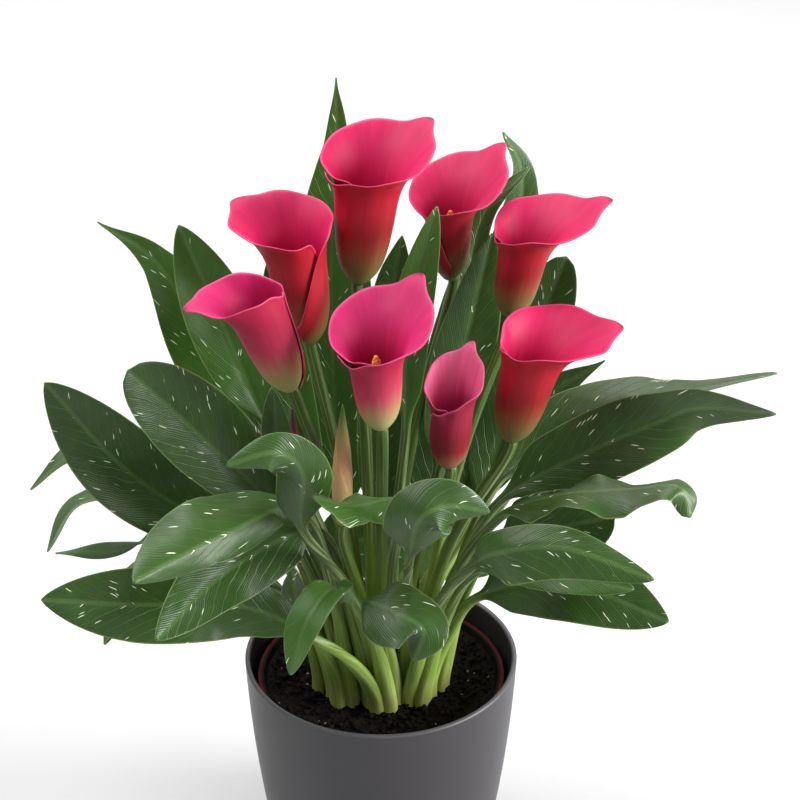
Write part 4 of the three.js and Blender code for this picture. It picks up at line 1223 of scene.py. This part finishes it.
@dataclass(frozen=True)
class SoilFinish:
    """Moist peat potting soil: nearly black, with brown fibres and a few pale grains of perlite."""

    dark: str = "0a0807"
    brown: str = "211913"
    perlite: str = "8d8275"
    crumbs_per_metre: float = 350.0
    grains_per_metre: float = 260.0
    grain_radius: float = 0.22
    cells_left_blank: float = 0.93

    def build(self) -> bpy.types.Material:
        """Makes the material."""
        peat = Surface("moist peat potting soil", Roughness=0.9, IOR=1.2)
        add = peat.add
        position = add("NewGeometry")
        crumbs = add("TexNoise", {"Vector": position, "Scale": self.crumbs_per_metre, "Detail": 6.0})
        body = add("MapRange", {"Value": crumbs, "From Min": 0.4, "From Max": 0.7})
        dark = add("Mix", {"Factor": body, "A": linear(self.dark), "B": linear(self.brown)}, **COLOUR)
        grains = add("TexVoronoi", {"Vector": position, "Scale": self.grains_per_metre})
        small = add("Math", {0: grains.outputs["Distance"], 1: self.grain_radius}, operation="LESS_THAN")
        chance = add("SeparateXYZ", {0: grains.outputs["Color"]})
        rare = add("Math", {0: chance, 1: self.cells_left_blank}, operation="GREATER_THAN")
        grain = add("Math", {0: small, 1: rare}, operation="MULTIPLY")
        peat.feed("Base Color", add("Mix", {"Factor": grain, "A": dark, "B": linear(self.perlite)}, **COLOUR))
        peat.feed("Normal", add("Bump", {"Height": crumbs, "Strength": 0.9, "Distance": 0.0012}))
        return peat.material


@dataclass(frozen=True)
class Soil:
    """The soil: a lumpy plug, banked up at the wall, with loose crumbs on it and round the stalks' feet."""

    top_radius: float = 65.7
    foot_radius: float = 47.8
    foot_height: float = 6.0
    bank: float = 4.4
    bank_width: float = 9.0
    lump: float = 1.1
    roughness: float = 1.3
    settled: float = 1.2
    segments: int = 200
    rings: int = 56
    crumbs: int = 1500
    crumbs_a_foot: int = 26
    foot_ring: tuple[float, float] = (4.5, 7.5)

    def top(self, x: float, y: float) -> float:
        """Gives the soil's height, lumpy and crumbly, at a place.

        Args:
            x: The place across the pot.
            y: The place along the pot's depth.

        Returns:
            The height over the floor.
        """
        lumps = math.sin(0.19 * x + 1.3) * math.cos(0.23 * y) + 0.6 * math.sin(0.41 * x - 0.37 * y)
        rough = noise.fractal(Vector((x, y, 0)) * 0.22, 0.9, 2.1, 5)
        edge = self.top_radius - math.hypot(x, y)
        bank = self.bank * math.exp(-(edge / self.bank_width) ** 2)
        calm = min(1, 0.3 + edge / 4)
        return SOIL_LEVEL + (self.lump * lumps + self.roughness * rough) * calm - self.settled + bank

    def build(self, draw: np.random.Generator, feet: list) -> None:
        """Makes the soil.

        Args:
            draw: The seeded source of random numbers.
            feet: The places where stalks stand, which have crumbs round them.
        """
        turns = [(math.cos(a), math.sin(a)) for a in whole_turn(self.segments)]
        verts = [(0, 0, self.foot_height)]
        verts += [(self.foot_radius * cos, self.foot_radius * sin, self.foot_height) for cos, sin in turns]
        for k in range(self.rings):
            radius = self.top_radius * (1 - k / self.rings)
            places = [(radius * cos, radius * sin) for cos, sin in turns]
            verts += [(x, y, self.top(x, y)) for x, y in places]
        last = len(verts)
        verts.append((0, 0, self.top(0.0, 0.0)))
        faces = []
        for i in range(self.segments):
            j = (i + 1) % self.segments
            faces.append((0, 1 + j, 1 + i))
            for row in range(1, last - self.segments, self.segments):
                following = row + self.segments
                faces.append((row + i, row + j, following + j, following + i))
            faces.append((last - self.segments + i, last - self.segments + j, last))
        for _ in range(self.crumbs):
            self.add_crumb(verts, faces, draw, np.zeros(3), (0.0, self.top_radius - 2))
        for foot in feet:
            for _ in range(self.crumbs_a_foot):
                self.add_crumb(verts, faces, draw, foot, self.foot_ring)
        make_piece("soil_crumbs", "soil", "soil", np.array(verts), faces, [SoilFinish().build()])

    def add_crumb(self, verts: list, faces: list, draw: np.random.Generator, middle: np.ndarray,
                  ring: tuple[float, float]) -> None:
        """Adds one small lump of soil, squashed and turned at random.

        Args:
            verts: The soil's points, which grow.
            faces: The soil's faces, which grow.
            draw: The seeded source of random numbers.
            middle: The middle of the ring that it may lie in.
            ring: The ring's inner and outer radius.
        """
        radius = math.sqrt(ring[0] ** 2 + (ring[1] ** 2 - ring[0] ** 2) * draw.random())
        angle = 2 * math.pi * draw.random()
        x, y = middle[0] + radius * math.cos(angle), middle[1] + radius * math.sin(angle)
        size = 0.5 + 1.6 * draw.random() ** 3
        stretch = 1 + 2.5 * draw.random() ** 6
        spin = 2 * math.pi * draw.random()
        start = len(verts)
        corners = [(0, 0, 1), (0.89, 0, 0.45), (0.28, 0.85, 0.45), (-0.72, 0.53, 0.45), (-0.72, -0.53, 0.45),
                   (0.28, -0.85, 0.45), (0.72, 0.53, -0.45), (-0.28, 0.85, -0.45), (-0.89, 0, -0.45),
                   (-0.28, -0.85, -0.45), (0.72, -0.53, -0.45), (0, 0, -1)]
        for px, py, pz in corners:
            scale = size * (0.75 + 0.5 * draw.random())
            along, across = px * scale * stretch, py * scale
            verts.append((x + along * math.cos(spin) - across * math.sin(spin),
                          y + along * math.sin(spin) + across * math.cos(spin),
                          self.top(x, y) + 0.3 * size + pz * scale * 0.8))
        for i in range(5):
            j = (i + 1) % 5
            faces.append((start, start + 1 + i, start + 1 + j))
            faces.append((start + 1 + i, start + 6 + i, start + 1 + j))
            faces.append((start + 1 + j, start + 6 + i, start + 6 + j))
            faces.append((start + 11, start + 6 + j, start + 6 + i))


LEAVES = (
    Leaf("leaf_left_1", (4, 2), ((-66, 23, 268), (-96, 46, 316), (-124, 65, 358), (-155, 71, 379)), half=22,
         widest=0.32, taper=LONG, roll=(0, 0, 10, 20), fold=10, curl=10, wave=3, crests=2,
         tone=LeafTone.MIDDLE),
    Leaf("leaf_left_2", (4, 3), ((-61, 8, 284), (-84, 25, 337), (-108, 43, 391)), half=19, widest=0.5,
         fold=12, curl=5, wave=1.5, crests=1.5, phase=1, tone=LeafTone.MIDDLE),
    Leaf("leaf_left_3", (2, 2), ((-56, -8, 241), (-96, -19, 296), (-131, -34, 345)), half=23, widest=0.52,
         taper=BLUNT, fold=8, curl=-6, wave=2, crests=1.5, skew=0.1),
    Leaf("leaf_left_4", (3, 1), ((-53, 3, 212), (-100, 9, 226), (-141, 3, 263), (-178, -12, 325)), half=23,
         widest=0.55, fold=8, wave=2, crests=1.5, phase=2),
    Leaf("leaf_left_5", (5, 1), ((-76, 54, 196), (-134, 70, 230), (-173, 65, 235), (-202, 59, 213)),
         half=15, widest=0.35, face=UP, fold=15, wave=2, crests=2, phase=1),
    Leaf("leaf_left_6", (4, 1), ((-86, 27, 196), (-130, 28, 223), (-168, 19, 229), (-187, 8, 204)), half=17,
         widest=0.5, face=UP, roll=(0, 10, 20, 20), fold=12, wave=1, crests=2),
    Leaf("leaf_left_7", (2, 1), ((-61, -11, 219), (-114, -31, 239), (-145, -37, 235), (-175, -40, 235)),
         half=16, widest=0.35, taper=LONG, face=UP, roll=(0, 0, 70, 160), fold=5, wave=1, crests=1),
    Leaf("leaf_left_8", (1, 2), ((-42, -50, 270), (-81, -93, 280), (-123, -130, 277)), half=22, widest=0.45,
         roll=(10, 0, -10), fold=-18, curl=-28, wave=4, crests=2, skew=0.4),
    Leaf("leaf_left_9", (1, 3), ((-34, -32, 244), (-79, -61, 239), (-116, -108, 226)), half=19, widest=0.42,
         fold=8, wave=2, crests=1.5, phase=1),
    Leaf("leaf_left_10", (0, 4), ((-34, -56, 189), (-73, -59, 213), (-134, -71, 223), (-178, -81, 233)),
         half=21, widest=0.55, fold=5, curl=-12, wave=3, crests=2.5),
    Leaf("leaf_left_11", (3, 0), ((-48, -4, 180), (-99, -18, 208), (-132, -31, 211), (-151, -46, 179)),
         half=17, widest=0.45, face=UP, fold=10, wave=2, crests=2),
    Leaf("leaf_left_12", (1, 4), ((-40, -62, 264), (-39, -78, 309), (-52, -88, 328), (-77, -94, 324)),
         half=15, widest=0.36, face=(0, -1, 0.4), fold=-8, curl=-18, wave=3, crests=1.5),
    Leaf("leaf_left_13", (2, 3), ((-50, -22, 268), (-55, -22, 301), (-57, -19, 326)), half=9, widest=0.4,
         fold=20, wave=0.5, crests=1),
    Leaf("leaf_front_1", (2, 5), ((10, -56, 277), (-14, -74, 287), (-34, -84, 299)), half=15, widest=0.5,
         face=UP, fold=-10, curl=-15, wave=3, crests=2.5, tone=LeafTone.MIDDLE),
    Leaf("leaf_front_2", (2, 6), ((16, -80, 260), (21, -95, 292), (36, -91, 298), (57, -83, 289)), half=18,
         widest=0.36, face=(0, -1, 0.5), roll=(0, 0, 10, 20), fold=-8, curl=-20, wave=3, crests=1.5),
    Leaf("leaf_front_3", (1, 5), ((-7, -70, 223), (8, -88, 230), (23, -96, 224), (18, -100, 207)), half=19,
         widest=0.38, face=(0, -0.6, 0.8), fold=-6, curl=-14, wave=3, crests=1.5),
    Leaf("leaf_front_4", (0, 5), ((-15, -57, 216), (-26, -74, 234), (-39, -90, 223), (-47, -97, 196)),
         half=11, widest=0.5, face=(-0.4, -0.6, 0.7), fold=15, wave=1, crests=1, tone=LeafTone.BRIGHT),
    Leaf("leaf_front_5", (1, 1), ((-38, -33, 179), (-46, -37, 205), (-47, -43, 227)), half=8, widest=0.45,
         fold=15, wave=1, crests=1),
    Leaf("leaf_right_1", (4, 8), ((66, 18, 245), (100, 31, 268), (133, 34, 286), (160, 28, 295), (216, 19,
         313)), half=20, widest=0.3, taper=BLUNT, roll=(0, 0, -45, -70, -75), fold=5, wave=2, crests=2),
    Leaf("leaf_right_2", (3, 7), ((66, -6, 247), (111, -12, 281), (147, -19, 304), (170, -23, 316), (209,
         -31, 317)), half=20, widest=0.38, roll=(0, 0, 10, 45, 60), fold=5, wave=2, crests=2),
    Leaf("leaf_right_3", (2, 7), ((63, -49, 263), (92, -62, 286), (130, -67, 293), (155, -73, 298), (161,
         -79, 283)), half=15, widest=0.5, taper=BLUNT, face=UP, fold=-10, curl=-15, wave=5, crests=2.5),
    Leaf("leaf_right_4", (3, 8), ((66, -30, 239), (97, -43, 254), (125, -48, 264)), half=20, widest=0.5,
         taper=BLUNT, fold=5, wave=2, crests=1.5),
    Leaf("leaf_right_5", (1, 6), ((48, -83, 255), (62, -105, 279), (95, -115, 288), (139, -124, 275)),
         half=15, widest=0.38, fold=-12, wave=2, crests=2, skew=0.2),
    Leaf("leaf_right_6", (1, 7), ((53, -55, 234), (90, -72, 244), (133, -87, 244)), half=10, widest=0.5,
         fold=10, wave=1, crests=1.5, tone=LeafTone.MIDDLE),
    Leaf("leaf_right_7", (2, 8), ((54, -25, 196), (97, -52, 225), (154, -74, 214)), half=21, widest=0.5,
         fold=5, curl=-5, wave=2, crests=1.5),
    Leaf("leaf_back_1", (6, 3), ((-22, 40, 188), (-28, 81, 321), (-24, 102, 413), (-24, 102, 451)), half=25,
         widest=0.42, taper=LONG, fold=10, wave=2, crests=2, tone=LeafTone.MIDDLE),
    Leaf("leaf_back_2", (5, 2), ((-38, 28, 215), (-55, 47, 327), (-58, 54, 376)), half=13, widest=0.4,
         fold=15, wave=1, crests=1, tone=LeafTone.BRIGHT),
    Leaf("leaf_back_3", (4, 5), ((14, 12, 281), (17, 12, 350), (30, 6, 420)), half=11, widest=0.5, fold=18,
         wave=1, crests=1, tone=LeafTone.BRIGHT),
    Leaf("leaf_back_4", (6, 4), ((1, 36, 200), (6, 53, 327), (12, 56, 378)), half=17, widest=0.42, fold=12,
         wave=1, crests=1, tone=LeafTone.MIDDLE),
    Leaf("leaf_back_5", (6, 6), ((42, 50, 195), (68, 102, 314), (80, 118, 379), (68, 112, 414)), half=18,
         widest=0.32, roll=(0, 0, 20, 40), fold=10, wave=2, crests=2),
    Leaf("leaf_back_6", (5, 5), ((43, 59, 260), (48, 74, 329), (58, 90, 374), (83, 102, 398)), half=7,
         widest=0.5, fold=15, wave=1, crests=1),
    Leaf("leaf_back_7", (4, 6), ((31, 29, 241), (44, 43, 306), (61, 57, 379)), half=17, widest=0.5, roll=(0,
         15, 25), fold=12, wave=2, crests=1.5),
    Leaf("leaf_back_8", (6, 5), ((24, 46, 195), (45, 84, 311), (59, 96, 366)), half=16, widest=0.42,
         fold=12, wave=2, crests=1.5),
    Leaf("leaf_back_9", (5, 6), ((54, 44, 207), (86, 81, 299), (104, 88, 349)), half=19, widest=0.55,
         taper=BLUNT, fold=10, wave=2, crests=1.5),
    Leaf("leaf_back_10", (5, 7), ((79, 34, 239), (95, 57, 275), (126, 62, 297)), half=11, widest=0.4,
         taper=LONG, fold=10, wave=1, crests=1),
    Leaf("leaf_back_11", (6, 2), ((-38, 46, 165), (-16, 58, 178), (22, 64, 176), (68, 58, 158)), half=26,
         widest=0.45, face=(0, -0.9, 0.45), fold=8, wave=2, crests=1.5),
)

BLOOMS = (
    Bloom("flower_1", (4, 4), (-11, 34, 363), lean=(0.09, 0.02, 1), tube=57, spadix=0.85, throat=11.5,
          tip_reach=32, low_reach=9, tip_angle=40, tip_flare=36, low_flare=60, wrap=250, margin_run=50),
    Bloom("flower_2", (5, 4), (39, 62, 351), lean=(-0.02, 0.05, 1), tube=32, spadix=1.2, throat=12.5,
          tip_reach=38, low_reach=10, tip_angle=40, tip_flare=38, low_flare=78, turn=1, wrap=230,
          margin_run=65),
    Bloom("flower_3", (4, 7), (71, 33, 343), lean=(0.18, 0.05, 1), tube=36, spadix=1.05, throat=11,
          tip_reach=38, low_reach=9, tip_angle=12, tip_flare=42, low_flare=66, wrap=230, margin_run=45),
    Bloom("flower_4", (5, 3), (-38, 22, 333), lean=(-0.14, 0, 1), tube=57, spadix=0.85, throat=9.5,
          tip_reach=26, low_reach=8, tip_angle=140, tip_flare=50, low_flare=48, wrap=250, margin_run=95),
    Bloom("flower_5", (3, 3), (-46, -31, 333), lean=(-0.34, -0.06, 1), tube=49, spadix=0.8, throat=9,
          tip_reach=24, low_reach=7, tip_angle=198, tip_flare=50, low_flare=16, wrap=210, margin_run=45,
          kind=SpatheKind.CREAM_FOOT),
    Bloom("flower_6", (3, 4), (1, -50, 322), lean=(-0.06, -0.04, 1), tube=38, spadix=1.1, throat=11.5,
          tip_reach=36, low_reach=9, tip_angle=50, tip_flare=38, low_flare=68, wrap=255, margin_run=45,
          kind=SpatheKind.CREAM_FOOT),
    Bloom("flower_7", (3, 5), (37, -39, 292), lean=(0.02, 0, 1), tube=32, spadix=0.85, throat=6.5,
          tip_reach=28, low_reach=4, tip_angle=60, tip_flare=16, low_flare=32, wrap=250, margin_run=60,
          kind=SpatheKind.CRIMSON),
    Bloom("flower_8", (3, 6), (70, -25, 299), lean=(0.22, 0.02, 1), tube=47, spadix=0.9, throat=11.5,
          tip_reach=33, low_reach=8, tip_angle=14, tip_flare=52, low_flare=50, wrap=230, margin_run=45),
)

BUDS = (
    Bud("bud_1", (2, 4), (-20, -35, 251), lean=(0.01, 0, 1), length=74, radius=5.9, kind=BudKind.OLIVE),
    Bud("bud_2", (3, 2), (-44, -6, 244), lean=(-0.05, 0, 1), length=62, radius=4.6, kind=BudKind.MAROON),
)


@dataclass(frozen=True)
class PaperFinish:
    """Matt white studio paper: flat and without shine, so that only soft shadows show on it."""

    colour: str = "c4c4c4"

    def build(self) -> bpy.types.Material:
        """Makes the material."""
        paper = Surface("matt white studio paper", Base_Color=linear(self.colour), Roughness=0.85,
                        Specular_IOR_Level=0.15)
        return paper.material


@dataclass(frozen=True)
class Light:
    """One square soft light: its name, place and aim in metres, the length of its sides, and its watts."""

    name: str
    place: tuple[float, float, float]
    aim: tuple[float, float, float]
    size: float
    power: float

    def hang(self) -> None:
        """Hangs the light."""
        lamp = bpy.data.objects.new(self.name, bpy.data.lights.new(self.name, "AREA"))
        lamp.data.size = self.size
        lamp.data.energy = self.power
        lamp.location = self.place
        toward = Vector(self.aim) - Vector(self.place)
        lamp.rotation_euler = toward.to_track_quat("-Z", "Y").to_euler()
        bpy.context.scene.collection.objects.link(lamp)


@dataclass(frozen=True)
class Studio:
    """The pale floor, the soft lights and the camera at the photograph's viewing angle."""

    floor_radius: float = 6.0
    surround: float = 0.44
    camera_place: tuple[float, float, float] = (0.01084, -1.2222, 1.0216)
    camera_tilt: float = 59.7
    focal_length: float = 118.26
    sensor_width: float = 36.0
    lights: tuple[Light, ...] = (
        Light("key", (1.8, -0.4, 0.8), (0, 0, 0.2), 1.1, 76.0),
        Light("top", (-0.9, 0.2, 1.8), (0, 0.05, 0.2), 1.8, 48.0),
        Light("ground", (0.0, 1.3, 1.5), (0, 1.1, 0), 1.2, 15.0),
    )

    def build(self) -> None:
        """Makes the floor, the world, the lights and the camera."""
        bpy.ops.mesh.primitive_circle_add(vertices=96, radius=self.floor_radius, fill_type="NGON")
        floor = bpy.context.object
        floor.name = "floor"
        floor.data.materials.append(PaperFinish().build())

        world = bpy.data.worlds.new("soft studio surround")
        world.use_nodes = True
        back = world.node_tree.nodes["Background"]
        back.inputs["Color"].default_value = (1.0, 1.0, 1.0, 1.0)
        back.inputs["Strength"].default_value = self.surround
        bpy.context.scene.world = world
        for light in self.lights:
            light.hang()

        camera = bpy.data.objects.new("camera", bpy.data.cameras.new("camera"))
        camera.data.lens = self.focal_length
        camera.data.sensor_width = self.sensor_width
        camera.location = self.camera_place
        camera.rotation_euler = (math.radians(self.camera_tilt), 0, 0)
        bpy.context.scene.collection.objects.link(camera)
        bpy.context.scene.camera = camera
        bpy.context.scene.view_settings.view_transform = "Standard"


def main() -> None:
    """Builds the whole plant and its studio."""
    logging.basicConfig(level=logging.INFO, format="%(name)s %(message)s")
    Studio().build()
    CoverPot().build()
    GrowPotFinish().dress(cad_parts["grow_pot"])
    feet = [foot_place(grown.slot) for grown in LEAVES + BLOOMS + BUDS]
    Soil().build(np.random.default_rng(SEED), feet)

    leaf_skin = LeafFinish().build()
    for number, leaf in enumerate(LEAVES):
        leaf.build(leaf_skin, number)

    stem_skin, spadix_skin = StemFinish().build(), SpadixFinish().build()
    spathe_skins = {kind: kind.value.build() for kind in SpatheKind}
    for bloom in BLOOMS:
        bloom.build_stem(stem_skin, spadix_skin)
        bloom.build_spathe(spathe_skins[bloom.kind])
    for bud in BUDS:
        bud.build(stem_skin)


if __name__ == "__main__":
    main()
